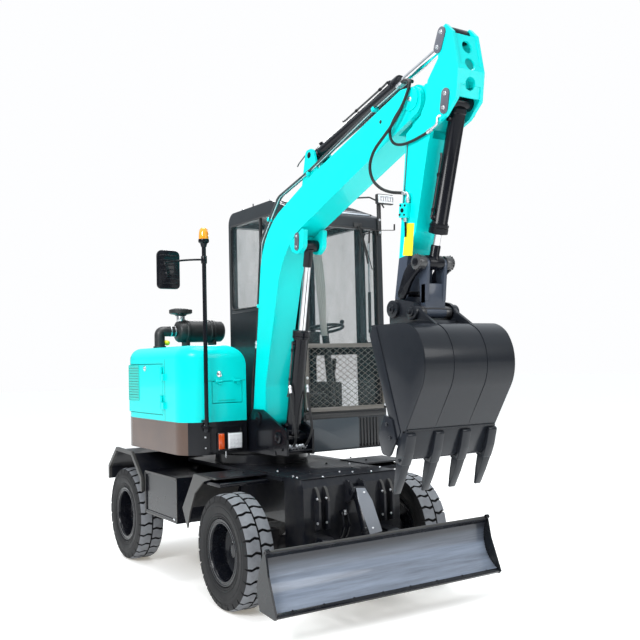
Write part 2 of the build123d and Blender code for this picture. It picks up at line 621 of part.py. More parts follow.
# Boom
boom_side = [(330, 1400), (556, 2958), (1348, 3275), (2498, 3622), (2700, 3600), (2700, 3440),
             (898, 2790), (560, 1640), (540, 1290), (360, 1290)]
boom_corners = [60, 600, 800, 60, 80, 80, 650, 120, 70, 70]
with BuildPart() as boom:
    side_plate(boom_side, arm_y(boom_half_width), boom_corners)
    for y in (arm_centre_y - boom_half_width + 20, arm_centre_y + boom_half_width - 20):
        side_plate([(1000, 2790), (1230, 2900), (1215, 2740), (1130, 2690), (1050, 2720)],
                   (y - 20, y + 20), [20, 20, 60, 60, 60])
    for side in (-1, 1):
        y = sorted((arm_centre_y + side * 62, arm_centre_y + side * 82))
        side_plate([(1160, 3180), (1420, 3280), (1345, 3500), (1240, 3500)], y, [2, 2, 45, 45])
    side_plate([(975, 2640), (975, 2850), (1235, 2850), (1235, 2640)], arm_y(69.5), mode=Mode.SUBTRACT)
    cross_pin(arm_cylinder_base, arm_y(90), pin_radius + running_gap, mode=Mode.SUBTRACT)
    side_plate([(2420, 3900), (2790, 3900), (2790, 3200), (2420, 3200)], arm_y(75), mode=Mode.SUBTRACT)
    cross_pin(boom_foot, arm_y(bracket_gap + 28), foot_pin_radius)
    cross_pin(boom_tip, arm_y(boom_half_width + 10), 45)
boom.part.label = "boom"
export_step(boom.part, "parts/boom.step")

line_radius = 9
with BuildPart() as boom_lines:
    for y in (arm_centre_y - 92, arm_centre_y + 92):
        with BuildLine():
            route = FilletPolyline(spot(395, y, 2020), spot(500, y, 2870), spot(820, y, 3205), spot(1330, y, 3330),
                                   spot(2175, y, 3590), spot(2450, y, 3660), radius=[110, 140, 300, 300])
        with BuildSketch(Plane(origin=route @ 0, z_dir=route % 0)):
            Circle(line_radius)
        sweep()
    for y in (arm_centre_y - 92, arm_centre_y + 92):
        side_plate([(418, 2300), (459.4, 2294), (467.4, 2353), (426, 2359)], (y - 14, y + 14))
        for x, low, high, rise in ((1290, 3252.1, 3336, 9.6), (2165, 3521.8, 3601, 7.24)):
            side_plate([(x, low), (x, high), (x + 24, high + rise), (x + 24, low + rise)],
                       (y - line_radius, y + line_radius))
boom_lines.part.label = "boom_lines"
export_step(boom_lines.part, "parts/boom_lines.step")

cylinders = [
    # name, base pin, rod eye pin, barrel radius, rod radius, half base eye, half rod eye,
    # gland to rod eye, rod inside the barrel
    ("boom", boom_cylinder_base, boom_ear, 62, 30, 110, 69, 690, 200),
    ("arm", arm_cylinder_base, arm_head_pin, 50, 27, 61, 84, 560, 340),
    ("bucket", bucket_cylinder_base, link_pin, 52, 25, 84, 60, 190, 450),
]
for name, base, eye, barrel_radius, rod_radius, half_base, half_eye, gland, inside in cylinders:
    length = hypot(eye[0] - base[0], eye[1] - base[1])
    y = arm_centre_y
    with BuildPart() as barrel:
        cross_pin(base, arm_y(half_base), 45)
        cross_pin(base, arm_y(half_base + 30), pin_radius)
        flat_bar(base, eye, barrel_radius, y, 30, gland)
        flat_bar(base, eye, rod_radius + running_gap, y, 90, gland - 10, mode=Mode.SUBTRACT)
    barrel.part.label = name + "_barrel"
    export_step(barrel.part, "parts/" + name + "_barrel.step")
    with BuildPart() as rod:
        flat_bar(base, eye, rod_radius, y, length - gland - inside, 10)
        cross_pin(eye, arm_y(half_eye), 48)
    rod.part.label = name + "_rod"
    export_step(rod.part, "parts/" + name + "_rod.step")

# Arm
arm_beam = [(2545, 3315), (2434, 2526), (2375, 2250), (2375, 2110), (2470, 2110), (2500, 2380),
            (2530, 2560), (2610, 2660), (2760, 3200), (2800, 3290), (2930, 3334), (3034, 3423), (3060, 3600), (3017, 3844),
            (2960, 3905), (2880, 3880), (2880, 3714), (2775, 3606), (2700, 3400)]
with BuildPart() as arm:
    side_plate(arm_beam, arm_y(boom_half_width))
    side_plate([(2380, 3960), (3100, 3960), (3100, 3650), (2850, 3560), (2830, 3300), (2800, 3200),
                (2380, 3800)], arm_y(boom_half_width - 25), mode=Mode.SUBTRACT)
    side_plate([(2820, 3510), (3080, 3510), (3080, 3290), (2805, 3160), (2775, 3190), (2800, 3300)],
               arm_y(boom_half_width - 25), mode=Mode.SUBTRACT)
    for side in (-1, 1):
        y = sorted((arm_centre_y + side * 68, arm_centre_y + side * (boom_half_width + 5)))
        cross_pin(boom_tip, y, 150, mode=Mode.SUBTRACT)
    side_plate([(2560, 3300), (2720, 3300), (2850, 3500), (2840, 3600), (2700, 3610), (2560, 3500)], arm_y(68))
    side_plate([(3011, 3440), (3038, 3600), (2996, 3832), (3012, 3836), (3055, 3600), (3028, 3436)],
               arm_y(boom_half_width - 20))
    for z in (3520, 3640, 3755):
        bar((2995, arm_centre_y, z), (3075, arm_centre_y, z), 40, mode=Mode.SUBTRACT)
    cross_pin(bucket_cylinder_base, arm_y(120), pin_radius + running_gap, mode=Mode.SUBTRACT)
    cross_pin(bucket_pin, arm_y(ear_gap), 50)
    cross_pin(bucket_pin, arm_y(ear_gap + 1), foot_pin_radius + running_gap, mode=Mode.SUBTRACT)
    cross_pin(rocker_pin, arm_y(boom_half_width + 1), pin_radius + running_gap, mode=Mode.SUBTRACT)
    cross_pin(boom_tip, arm_y(68), 100)
    cross_pin(boom_tip, arm_y(69), 45 + running_gap, mode=Mode.SUBTRACT)
arm.part.label = "arm"
export_step(arm.part, "parts/arm.step")

# Rocker links, coupler and bucket
with BuildPart() as rocker:
    for side in (-1, 1):
        y = sorted((arm_centre_y + side * 111, arm_centre_y + side * 133))
        side_plate([(2440, 2294), (2500, 2248), (2570, 2350), (2680, 2428), (2620, 2501), (2530, 2440)], y)
        cross_pin(rocker_pin, y, 38)
        cross_pin(link_pin, sorted((arm_centre_y + side * 84, arm_centre_y + side * 148)), link_boss_radius)
        cross_pin(link_pin, sorted((arm_centre_y + side * 61, arm_centre_y + side * 85)), pin_radius)
    cross_pin(rocker_pin, arm_y(134), pin_radius)
rocker.part.label = "rocker"
export_step(rocker.part, "parts/rocker.step")

with BuildPart() as coupler:
    side_plate([(2600, 2170), (2660, 2170), (2670, 2325), (2610, 2325)], arm_y(83))
    for side in (-1, 1):
        y = sorted((arm_centre_y + side * 60.5, arm_centre_y + side * 83))
        side_plate([(2611, 2320), (2669, 2320), (2690, 2460), (2600, 2460)], y)
        cross_pin(link_pin, y, link_boss_radius)
        cross_pin(link_pin, (y[0] - 1, y[1] + 1), pin_radius + running_gap, mode=Mode.SUBTRACT)
    cross_pin(coupler_pin, arm_y(ear_gap), 40)
coupler.part.label = "coupler"
export_step(coupler.part, "parts/coupler.step")

bucket_y = (arm_centre_y - bucket_half_width, arm_centre_y + bucket_half_width)
tooth_step = (2 * bucket_half_width - 70) / 3
with BuildPart() as bucket:
    side_plate([(2437, 2005), (2462, 2058), (2885, 2058), (3026, 1806), (2775, 1405), (2722, 1225), (2700, 1225),
                (2676, 1315)], bucket_y, [25, 25, 170, 280, 60, 5, 5, 5])
    side_plate([(2300, 2045), (2878, 2045), (3011, 1806), (2757, 1402), (2690, 1180), (2400, 1180)],
               (bucket_y[0] + 18, bucket_y[1] - 18), [1, 158, 268, 60, 1, 1], mode=Mode.SUBTRACT)
    side_plate([(2600, 1330), (2600, 1200), (2760, 1200), (2712, 1240), (2738, 1330), (2676, 1320)],
               (bucket_y[0] - 1, bucket_y[1] + 1), mode=Mode.SUBTRACT)
    side_plate([(2782, 1405), (2722, 1225), (2700, 1225), (2755, 1405)], bucket_y)
    for side in (-1, 1):
        y = sorted((arm_centre_y + side * (ear_gap + side_gap), arm_centre_y + side * (ear_gap + 25)))
        side_plate([(2370, 2035), (2370, 2200), (2430, 2235), (2640, 2195), (2690, 2150), (2850, 2010)], y)
        cross_pin(coupler_pin, (y[0], y[1] + 8) if side > 0 else (y[0] - 8, y[1]), 50)
        ridge = arm_centre_y + side * (ear_gap + 7)
        side_plate([(2700, 2040), (2700, 2067), (2890, 2067), (3036, 1806), (2795, 1422), (2775, 1434),
                    (3014, 1814), (2880, 2045)], (ridge - 7, ridge + 7), [1, 1, 179, 289, 1, 1, 265, 150])
        wall = arm_centre_y + side * bucket_half_width
        side_plate([(2592, 1500), (2668, 1470), (2705, 1345), (2640, 1240), (2560, 1250), (2525, 1360)],
                   sorted((wall - side * 4, wall + side * 16)))
    cross_pin(bucket_pin, arm_y(ear_gap + 30), foot_pin_radius)
    for step in range(4):
        y = bucket_y[0] + 35 + step * tooth_step
        side_plate([(2742, 1398), (2802, 1392), (2768, 1270), (2732, 1190), (2662, 1205), (2684, 1290)],
                   (y - 36, y + 36))
        side_plate([(2726, 1210), (2668, 1220), (2602, 1002), (2614, 998)], (y - 30, y + 30))
bucket.part.label = "bucket"
export_step(bucket.part, "parts/bucket.step")
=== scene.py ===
import bpy
import bmesh
from math import cos, pi, radians, sin, tan
from mathutils import Matrix, Vector


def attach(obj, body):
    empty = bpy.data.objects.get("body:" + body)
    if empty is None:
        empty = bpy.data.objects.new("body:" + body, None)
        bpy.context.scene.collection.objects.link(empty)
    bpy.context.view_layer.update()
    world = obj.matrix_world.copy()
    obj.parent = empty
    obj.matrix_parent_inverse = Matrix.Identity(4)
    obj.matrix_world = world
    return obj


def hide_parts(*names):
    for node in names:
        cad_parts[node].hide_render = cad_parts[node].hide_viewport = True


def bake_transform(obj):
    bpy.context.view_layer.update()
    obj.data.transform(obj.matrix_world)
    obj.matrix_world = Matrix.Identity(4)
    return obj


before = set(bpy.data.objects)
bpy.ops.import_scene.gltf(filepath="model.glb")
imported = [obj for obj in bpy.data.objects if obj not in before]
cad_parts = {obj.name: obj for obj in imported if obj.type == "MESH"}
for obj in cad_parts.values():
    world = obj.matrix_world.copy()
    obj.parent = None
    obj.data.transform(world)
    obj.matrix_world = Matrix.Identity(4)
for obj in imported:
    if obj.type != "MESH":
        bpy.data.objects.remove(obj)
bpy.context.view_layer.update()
datum = Vector((-0.760, 0.065, 0.0))  # machine datum: middle of the wheelbase on the ground
# Every place below is measured from the datum, in metres: x forward, y to the left, z up

# Camera, at the height and distance worked out from the photograph's lines
cameraView = {"spot": (6.816, -3.680, 1.843), "yaw": 32.53, "pitch": 2.778, "roll": -1.346, "lens": 47.25}


def makeCamera(v):
    yaw, pitch, roll = radians(v["yaw"]), radians(v["pitch"]), radians(v["roll"])
    ahead = Vector((-cos(yaw) * cos(pitch), sin(yaw) * cos(pitch), sin(pitch)))
    right = ahead.cross(Vector((0, 0, 1))).normalized()
    up = right.cross(ahead)
    right, up = cos(roll) * right + sin(roll) * up, -sin(roll) * right + cos(roll) * up
    data = bpy.data.cameras.new("camera")
    data.lens = v["lens"]
    data.sensor_width = 36
    camera = bpy.data.objects.new("camera", data)
    bpy.context.scene.collection.objects.link(camera)
    turn = Matrix((right, up, -ahead)).transposed().to_4x4()
    camera.matrix_world = Matrix.Translation(Vector(v["spot"]) + datum) @ turn
    bpy.context.scene.camera = camera


makeCamera(cameraView)

# Floor and soft studio light
studio = {"floor": (0.93, 0.935, 0.94), "backdrop": (0.985, 0.99, 1.0), "sky": (0.88, 0.94, 1.0),
          "low": 0.22, "high": 1.05, "floorHalf": 60, "glow": (1.0, 0.92, 0.78), "glowing": 0.24}
studioLights = (
    # name, spot, aim, size, power
    ("keyLight", (4.5, -7.5, 6.5), (0.5, 0, 1.6), 4.0, 620),
    ("fillLight", (9.5, 3.5, 4.5), (0.8, 0, 1.4), 4.0, 150),
    ("topLight", (0.0, 0.0, 9.0), (0, 0, 0), 6.0, 520),
    ("backLight", (-7.0, 4.0, 6.0), (0, 0, 1.5), 4.0, 260),
)


def makeStudio(v, lights):
    world = bpy.data.worlds.new("studio")
    bpy.context.scene.world = world
    world.use_nodes = True
    # a plain white backdrop, while the machine is lit by a sky that is bright above and dim at its sides
    tree = world.node_tree
    sky = tree.nodes["Background"]
    sky.inputs["Color"].default_value = (*v["sky"], 1)
    backdrop = tree.nodes.new("ShaderNodeBackground")
    backdrop.inputs["Color"].default_value = (*v["backdrop"], 1)
    direction = tree.nodes.new("ShaderNodeSeparateXYZ")
    rise = tree.nodes.new("ShaderNodeMapRange")
    rise.interpolation_type = "SMOOTHSTEP"
    for key, value in ((1, -0.05), (2, 0.75), (3, v["low"]), (4, v["high"])):
        rise.inputs[key].default_value = value
    choice = tree.nodes.new("ShaderNodeMixShader")
    tree.links.new(tree.nodes.new("ShaderNodeTexCoord").outputs["Generated"], direction.inputs[0])
    tree.links.new(direction.outputs[2], rise.inputs[0])
    tree.links.new(rise.outputs[0], sky.inputs["Strength"])
    tree.links.new(tree.nodes.new("ShaderNodeLightPath").outputs["Is Camera Ray"], choice.inputs[0])
    tree.links.new(sky.outputs[0], choice.inputs[1])
    tree.links.new(backdrop.outputs[0], choice.inputs[2])
    tree.links.new(choice.outputs[0], tree.nodes["World Output"].inputs[0])
    ground = bmesh.new()
    bmesh.ops.create_grid(ground, x_segments=1, y_segments=1, size=v["floorHalf"])
    data = bpy.data.meshes.new("floor")
    ground.to_mesh(data)
    ground.free()
    floor = bpy.data.objects.new("floor", data)
    bpy.context.scene.collection.objects.link(floor)
    mat = bpy.data.materials.new("floorPale")
    mat.use_nodes = True
    shader = mat.node_tree.nodes["Principled BSDF"]
    shader.inputs["Base Color"].default_value = (*v["floor"], 1)
    shader.inputs["Roughness"].default_value = 0.9
    shader.inputs["Emission Color"].default_value = (*v["glow"], 1)
    shader.inputs["Emission Strength"].default_value = v["glowing"]
    data.materials.append(mat)
    for name, spot, aim, size, power in lights:
        lamp = bpy.data.lights.new(name, "AREA")
        lamp.shape = "DISK"
        lamp.size = size
        lamp.energy = power
        holder = bpy.data.objects.new(name, lamp)
        bpy.context.scene.collection.objects.link(holder)
        holder.location = Vector(spot) + datum
        holder.rotation_mode = "QUATERNION"
        holder.rotation_quaternion = (Vector(aim) - Vector(spot)).to_track_quat("-Z", "Y")


makeStudio(studio, studioLights)
bpy.context.scene.view_settings.view_transform = "Standard"
print("camera and studio ready")


# Shared effects, as shader node groups
def effectGroup(name, inputs, outputs):
    group = bpy.data.node_groups.new(name, "ShaderNodeTree")
    kinds = {"v": "NodeSocketFloat", "c": "NodeSocketColor", "p": "NodeSocketVector"}
    for label, kind, value in inputs:
        socket = group.interface.new_socket(name=label, in_out="INPUT", socket_type=kinds[kind])
        if kind != "p":
            socket.default_value = value
    for label, kind in outputs:
        group.interface.new_socket(name=label, in_out="OUTPUT", socket_type=kinds[kind])
    return group, group.nodes.new("NodeGroupInput"), group.nodes.new("NodeGroupOutput")


def addNode(tree, kind, settings=None, **values):
    node = tree.nodes.new("ShaderNode" + kind)
    for key, value in (settings or {}).items():
        setattr(node, key, value)
    for key, value in values.items():
        node.inputs[int(key[1:]) if key[0] == "i" and key[1:].isdigit() else key].default_value = value
    return node


def makePaintGroup():
    # Slow colour drift, thin dust low on the machine and the fine waviness of sprayed paint
    group, given, out = effectGroup("paintSurface", [
        ("Point", "p", None), ("Paint", "c", (0, 0.5, 0.5, 1)), ("Deep", "c", (0, 0.4, 0.4, 1)),
        ("Dust", "c", (0.4, 0.37, 0.33, 1)), ("Dustiness", "v", 0.1), ("Drift", "v", 0.5),
        ("Gloss", "v", 0.25)], [("Color", "c"), ("Roughness", "v"), ("Height", "v")])
    link = group.links.new
    slow = addNode(group, "TexNoise", i2=1.7, i3=3.0)
    fine = addNode(group, "TexNoise", i2=260.0, i3=2.0)
    speck = addNode(group, "TexNoise", i2=14.0, i3=6.0, i4=0.65)
    for node in (slow, fine, speck):
        link(given.outputs["Point"], node.inputs["Vector"])
    drift = addNode(group, "MapRange", i1=0.3, i2=0.7)
    link(slow.outputs[0], drift.inputs[0])
    amount = addNode(group, "Math", {"operation": "MULTIPLY"})
    link(drift.outputs[0], amount.inputs[0])
    link(given.outputs["Drift"], amount.inputs[1])
    paint = addNode(group, "Mix", {"data_type": "RGBA"})
    link(amount.outputs[0], paint.inputs[0])
    link(given.outputs["Paint"], paint.inputs[6])
    link(given.outputs["Deep"], paint.inputs[7])
    split = addNode(group, "SeparateXYZ")
    link(given.outputs["Point"], split.inputs[0])
    low = addNode(group, "MapRange", i1=1.3, i2=0.1, i3=0.15, i4=1.0)
    link(split.outputs[2], low.inputs[0])
    spots = addNode(group, "MapRange", i1=0.42, i2=0.72)
    link(speck.outputs[0], spots.inputs[0])
    mask = addNode(group, "Math", {"operation": "MULTIPLY"})
    link(low.outputs[0], mask.inputs[0])
    link(spots.outputs[0], mask.inputs[1])
    dusty = addNode(group, "Math", {"operation": "MULTIPLY", "use_clamp": True})
    link(mask.outputs[0], dusty.inputs[0])
    link(given.outputs["Dustiness"], dusty.inputs[1])
    both = addNode(group, "Mix", {"data_type": "RGBA"})
    link(dusty.outputs[0], both.inputs[0])
    link(paint.outputs[2], both.inputs[6])
    link(given.outputs["Dust"], both.inputs[7])
    link(both.outputs[2], out.inputs["Color"])
    rough = addNode(group, "Math", {"operation": "MULTIPLY_ADD", "use_clamp": True}, i1=0.5)
    link(dusty.outputs[0], rough.inputs[0])
    link(given.outputs["Gloss"], rough.inputs[2])
    link(rough.outputs[0], out.inputs["Roughness"])
    link(fine.outputs[0], out.inputs["Height"])
    return group


def makeWearAndSheenGroup():
    # Streaks and rubbed spots, stretched along one axis by the Mapping node in front of it; on the blade it
    # also breaks up a painted reflection
    group, given, out = effectGroup("wearAndSheenSpots", [
        ("Point", "p", None), ("Scale", "v", 8.0), ("Low", "v", 0.55), ("High", "v", 0.7)],
        [("Mask", "v"), ("Height", "v")])
    link = group.links.new
    noise = addNode(group, "TexNoise", i3=8.0, i4=0.7)
    link(given.outputs["Point"], noise.inputs["Vector"])
    link(given.outputs["Scale"], noise.inputs["Scale"])
    cut = addNode(group, "MapRange")
    link(noise.outputs[0], cut.inputs[0])
    link(given.outputs["Low"], cut.inputs[1])
    link(given.outputs["High"], cut.inputs[2])
    link(cut.outputs[0], out.inputs["Mask"])
    link(noise.outputs[0], out.inputs["Height"])
    return group


paintSurface = makePaintGroup()
wearAndSheenSpots = makeWearAndSheenGroup()


def newMaterial(name, **fixed):
    mat = bpy.data.materials.new(name)
    mat.use_nodes = True
    shader = mat.node_tree.nodes["Principled BSDF"]
    for key, value in fixed.items():
        shader.inputs[key.replace("_", " ")].default_value = value
    return mat, mat.node_tree, shader


def objectPoint(tree, stretch=None):
    here = addNode(tree, "TexCoord").outputs["Object"]
    if stretch:
        turn = addNode(tree, "Mapping", Scale=stretch)
        tree.links.new(here, turn.inputs[0])
        here = turn.outputs[0]
    return here


def groupNode(tree, group, point, **values):
    node = tree.nodes.new("ShaderNodeGroup")
    node.node_tree = group
    tree.links.new(point, node.inputs["Point"])
    for key, value in values.items():
        node.inputs[key].default_value = value
    return node


def bumpFrom(tree, height, shader, strength, distance, edge=0.0):
    bump = addNode(tree, "Bump", Strength=strength, Distance=distance)
    tree.links.new(height, bump.inputs["Height"])
    if edge:
        rounded = addNode(tree, "Bevel", {"samples": 4}, Radius=edge)
        tree.links.new(rounded.outputs[0], bump.inputs["Normal"])
    tree.links.new(bump.outputs[0], shader.inputs["Normal"])


def paintMaterial(name, v):
    mat, tree, shader = newMaterial(name, Coat_Weight=v["coat"], Coat_Roughness=v["coatRough"],
                                    Specular_IOR_Level=v.get("shine", 0.5))
    look = groupNode(tree, paintSurface, objectPoint(tree), Paint=(*v["paint"], 1), Deep=(*v["deep"], 1),
                     Dust=(*v["dust"], 1), Dustiness=v["dustiness"], Drift=v["drift"], Gloss=v["gloss"])
    tree.links.new(look.outputs["Color"], shader.inputs["Base Color"])
    tree.links.new(look.outputs["Roughness"], shader.inputs["Roughness"])
    bumpFrom(tree, look.outputs["Height"], shader, v["wave"], 0.0004, v.get("edge", 0.0))
    return mat


paintKeys = ("paint", "deep", "dust", "dustiness", "drift", "gloss",
             "coat", "coatRough", "wave", "edge", "shine")
paintRows = (
    ("tealPaint", (0.0, 0.68, 0.66), (0.0, 0.6, 0.57), (0.2, 0.5, 0.5),
     0.05, 0.5, 0.3, 0.25, 0.06, 0.05, 0.004, 0.12),
    ("tealPlain", (0.0, 0.68, 0.66), (0.0, 0.6, 0.57), (0.2, 0.5, 0.5),
     0.05, 0.5, 0.3, 0.25, 0.06, 0.05, 0.0, 0.12),
    ("blackPaint", (0.003, 0.0035, 0.006), (0.005, 0.006, 0.009), (0.06, 0.058, 0.055),
     0.12, 0.6, 0.25, 0.2, 0.05, 0.06, 0.004, 0.15),
    ("bladePaint", (0.006, 0.007, 0.009), (0.01, 0.012, 0.015), (0.08, 0.08, 0.08),
     0.1, 0.6, 0.25, 0.2, 0.05, 0.04, 0.003, 0.15),
    ("bucketPaint", (0.012, 0.014, 0.019), (0.007, 0.009, 0.012), (0.14, 0.135, 0.12),
     0.08, 0.7, 0.28, 0.25, 0.1, 0.08, 0.0, 0.2),
    ("greyPaint", (0.02, 0.024, 0.028), (0.014, 0.017, 0.021), (0.22, 0.21, 0.19),
     0.15, 0.7, 0.3, 0.4, 0.1, 0.08, 0.004, 0.3),
    ("slatePaint", (0.055, 0.068, 0.095), (0.035, 0.044, 0.062), (0.2, 0.2, 0.2),
     0.1, 0.7, 0.25, 0.25, 0.08, 0.06, 0.004, 0.3),
    ("deckPaint", (0.008, 0.009, 0.013), (0.005, 0.006, 0.009), (0.12, 0.11, 0.09),
     0.2, 0.7, 0.3, 0.2, 0.06, 0.08, 0.004, 0.2),
    ("flagGrey", (0.11, 0.115, 0.14), (0.05, 0.055, 0.07), (0.3, 0.3, 0.3),
     0.3, 1.0, 0.3, 0.3, 0.1, 0.3, 0.0, 0.5),
    ("pipeBlack", (0.006, 0.007, 0.009), (0.012, 0.013, 0.016), (0.2, 0.2, 0.2),
     0.05, 0.5, 0.18, 0.8, 0.04, 0.05, 0.0, 0.5),
    ("panelGrey", (0.055, 0.068, 0.08), (0.04, 0.05, 0.06), (0.2, 0.2, 0.2),
     0.1, 0.6, 0.3, 0.3, 0.1, 0.05, 0.0, 0.3),
    # darker copy of the teal: painted shade, for the louvre and the front lid's lower edge
    ("tealPaintedShade", (0.0, 0.5, 0.44), (0.0, 0.44, 0.38), (0.2, 0.5, 0.5),
     0.05, 0.5, 0.35, 0.2, 0.08, 0.05, 0.0, 0.12),
    ("weldSteel", (0.05, 0.05, 0.052), (0.015, 0.015, 0.016), (0.45, 0.45, 0.46),
     0.4, 1.0, 0.3, 0.3, 0.12, 1.0, 0.0, 0.5),
    ("coverGrey", (0.16, 0.175, 0.2), (0.12, 0.13, 0.15), (0.3, 0.3, 0.3),
     0.15, 0.8, 0.35, 0.2, 0.1, 0.3, 0.0, 0.5),
    ("paleCloth", (0.88, 0.87, 0.84), (0.66, 0.66, 0.62), (0.4, 0.3, 0.2),
     0.2, 0.9, 0.6, 0.0, 0.3, 0.6, 0.0, 0.2),
    # pale blue-grey for the skylight's pane: painted reflection of the sky on its glass
    ("skylight", (0.62, 0.66, 0.72), (0.5, 0.55, 0.62), (0.4, 0.4, 0.4),
     0.05, 0.6, 0.12, 1.0, 0.03, 0.02, 0.0, 0.5),
    # lighter grey for painted highlights along edges
    ("edgeHighlightGrey", (0.042, 0.041, 0.04), (0.028, 0.028, 0.028), (0.18, 0.17, 0.15),
     0.2, 0.7, 0.4, 0.1, 0.2, 0.1, 0.0, 0.3),
    ("castBlack", (0.008, 0.008, 0.01), (0.012, 0.012, 0.014), (0.1, 0.09, 0.08),
     0.3, 0.8, 0.5, 0.1, 0.3, 0.5, 0.006, 0.2),
    ("skirtPaint", (0.105, 0.066, 0.05), (0.066, 0.046, 0.04), (0.2, 0.16, 0.14),
     0.15, 0.9, 0.25, 0.3, 0.07, 0.1, 0.004, 0.2),
    ("guardPaint", (0.12, 0.11, 0.095), (0.09, 0.085, 0.075), (0.4, 0.38, 0.34),
     0.3, 0.6, 0.35, 0.3, 0.2, 0.1, 0.0, 0.5),
    ("plasticBlack", (0.014, 0.014, 0.015), (0.022, 0.022, 0.023), (0.3, 0.28, 0.25),
     0.15, 0.5, 0.42, 0.0, 0.3, 0.25, 0.0, 0.5),
    ("vinylBlack", (0.018, 0.018, 0.02), (0.026, 0.026, 0.028), (0.2, 0.2, 0.2),
     0.1, 0.5, 0.55, 0.0, 0.3, 0.6, 0.0, 0.5),
    ("amberLens", (0.95, 0.33, 0.01), (0.85, 0.25, 0.005), (0.6, 0.4, 0.2),
     0.0, 0.4, 0.12, 1.0, 0.03, 0.1, 0.0, 0.5),
    ("orangeLens", (0.8, 0.1, 0.01), (0.6, 0.06, 0.005), (0.5, 0.3, 0.2),
     0.0, 0.4, 0.12, 1.0, 0.03, 0.1, 0.0, 0.5),
    ("yellowLabel", (0.86, 0.78, 0.02), (0.8, 0.7, 0.02), (0.5, 0.45, 0.3),
     0.1, 0.3, 0.35, 0.3, 0.2, 0.02, 0.0, 0.5),
)
paints = {row[0]: dict(zip(paintKeys, row[1:])) for row in paintRows}
finish = {name: paintMaterial(name, values) for name, values in paints.items()}


def twoToneMaterial(name, low, high, direction, level, both=False):
    # one paint up to a line across the piece, the other past it
    # with both, the other lies past it on either side of the datum
    a, b = paints[low], paints[high]
    mat, tree, shader = newMaterial(name, Coat_Weight=a["coat"], Coat_Roughness=a["coatRough"],
                                    Specular_IOR_Level=a.get("shine", 0.5))
    point = objectPoint(tree)
    sides = [groupNode(tree, paintSurface, point, Paint=(*v["paint"], 1), Deep=(*v["deep"], 1),
                       Dust=(*v["dust"], 1),
                       Dustiness=v["dustiness"], Drift=v["drift"], Gloss=v["gloss"]) for v in (a, b)]
    moved = addNode(tree, "VectorMath", {"operation": "SUBTRACT"}, i1=tuple(datum))
    across = addNode(tree, "VectorMath", {"operation": "DOT_PRODUCT"}, i1=direction)
    tree.links.new(point, moved.inputs[0])
    tree.links.new(moved.outputs[0], across.inputs[0])
    distance = across.outputs["Value"]
    if both:
        size = addNode(tree, "Math", {"operation": "ABSOLUTE"})
        tree.links.new(distance, size.inputs[0])
        distance = size.outputs[0]
    edge = addNode(tree, "MapRange", i1=level - 0.0006, i2=level + 0.0006)
    tree.links.new(distance, edge.inputs[0])
    colour = addNode(tree, "Mix", {"data_type": "RGBA"})
    rough = addNode(tree, "Mix", {"data_type": "FLOAT"})
    for node, sockets, out in ((colour, (6, 7), "Color"), (rough, (2, 3), "Roughness")):
        tree.links.new(edge.outputs[0], node.inputs[0])
        for side, socket in zip(sides, sockets):
            tree.links.new(side.outputs[out], node.inputs[socket])
    tree.links.new(colour.outputs[2], shader.inputs["Base Color"])
    tree.links.new(rough.outputs[0], shader.inputs["Roughness"])
    bumpFrom(tree, sides[0].outputs["Height"], shader, a["wave"], 0.0004, a.get("edge", 0.0))
    return mat


def bladeFaceMaterial(v):
    # dark gloss paint with a painted reflection: it goes pale blue towards the cutting edge, in long level
    # streaks
    mat, tree, shader = newMaterial("bladeFace", Coat_Weight=v["coat"], Specular_IOR_Level=0.3,
                                    Coat_Roughness=v["coatRough"], Roughness=v["rough"])
    point = objectPoint(tree)
    split = addNode(tree, "SeparateXYZ")
    tree.links.new(point, split.inputs[0])
    fall = addNode(tree, "MapRange", i1=v["dark"], i2=v["pale"])
    tree.links.new(split.outputs[2], fall.inputs[0])
    streaks = groupNode(tree, wearAndSheenSpots, objectPoint(tree, v["stretch"]), Scale=v["scale"], Low=0.30,
                        High=0.72)
    bands = addNode(tree, "MapRange", i3=v["bandLow"], i4=1.0)
    tree.links.new(streaks.outputs["Mask"], bands.inputs[0])
    share = addNode(tree, "Math", {"operation": "MULTIPLY"})
    tree.links.new(fall.outputs[0], share.inputs[0])
    tree.links.new(bands.outputs[0], share.inputs[1])
    tint = addNode(tree, "Mix", {"data_type": "RGBA"}, i6=(*v["deep"], 1), i7=(*v["sheen"], 1))
    tree.links.new(share.outputs[0], tint.inputs[0])
    tree.links.new(tint.outputs[2], shader.inputs["Base Color"])
    bumpFrom(tree, streaks.outputs["Height"], shader, v["wave"], 0.0004)
    return mat


bladeFaceLook = {"deep": (0.016, 0.018, 0.024), "sheen": (0.30, 0.35, 0.44), "dark": 0.520, "pale": 0.380,
                 "coat": 0.5,
                 "coatRough": 0.05, "rough": 0.3, "stretch": (1.0, 0.35, 9.0), "scale": 1.6, "bandLow": 0.25,
                 "wave": 0.1}
finish["bladeFace"] = bladeFaceMaterial(bladeFaceLook)
finish["armPaint"] = twoToneMaterial("armPaint", "tealPaint", "slatePaint", (0.13, 0, -0.991), -2.17)
finish["counterweightPaint"] = twoToneMaterial("counterweightPaint", "skirtPaint", "blackPaint", (1, 0, 0),
                                               0.2)
# mudguards: black deck paint, and past the line on each side the edge grey of a painted highlight along the
# outer edge
finish["mudguardPaint"] = twoToneMaterial("mudguardPaint", "deckPaint", "edgeHighlightGrey", (0, 1, 0), 0.904, True)


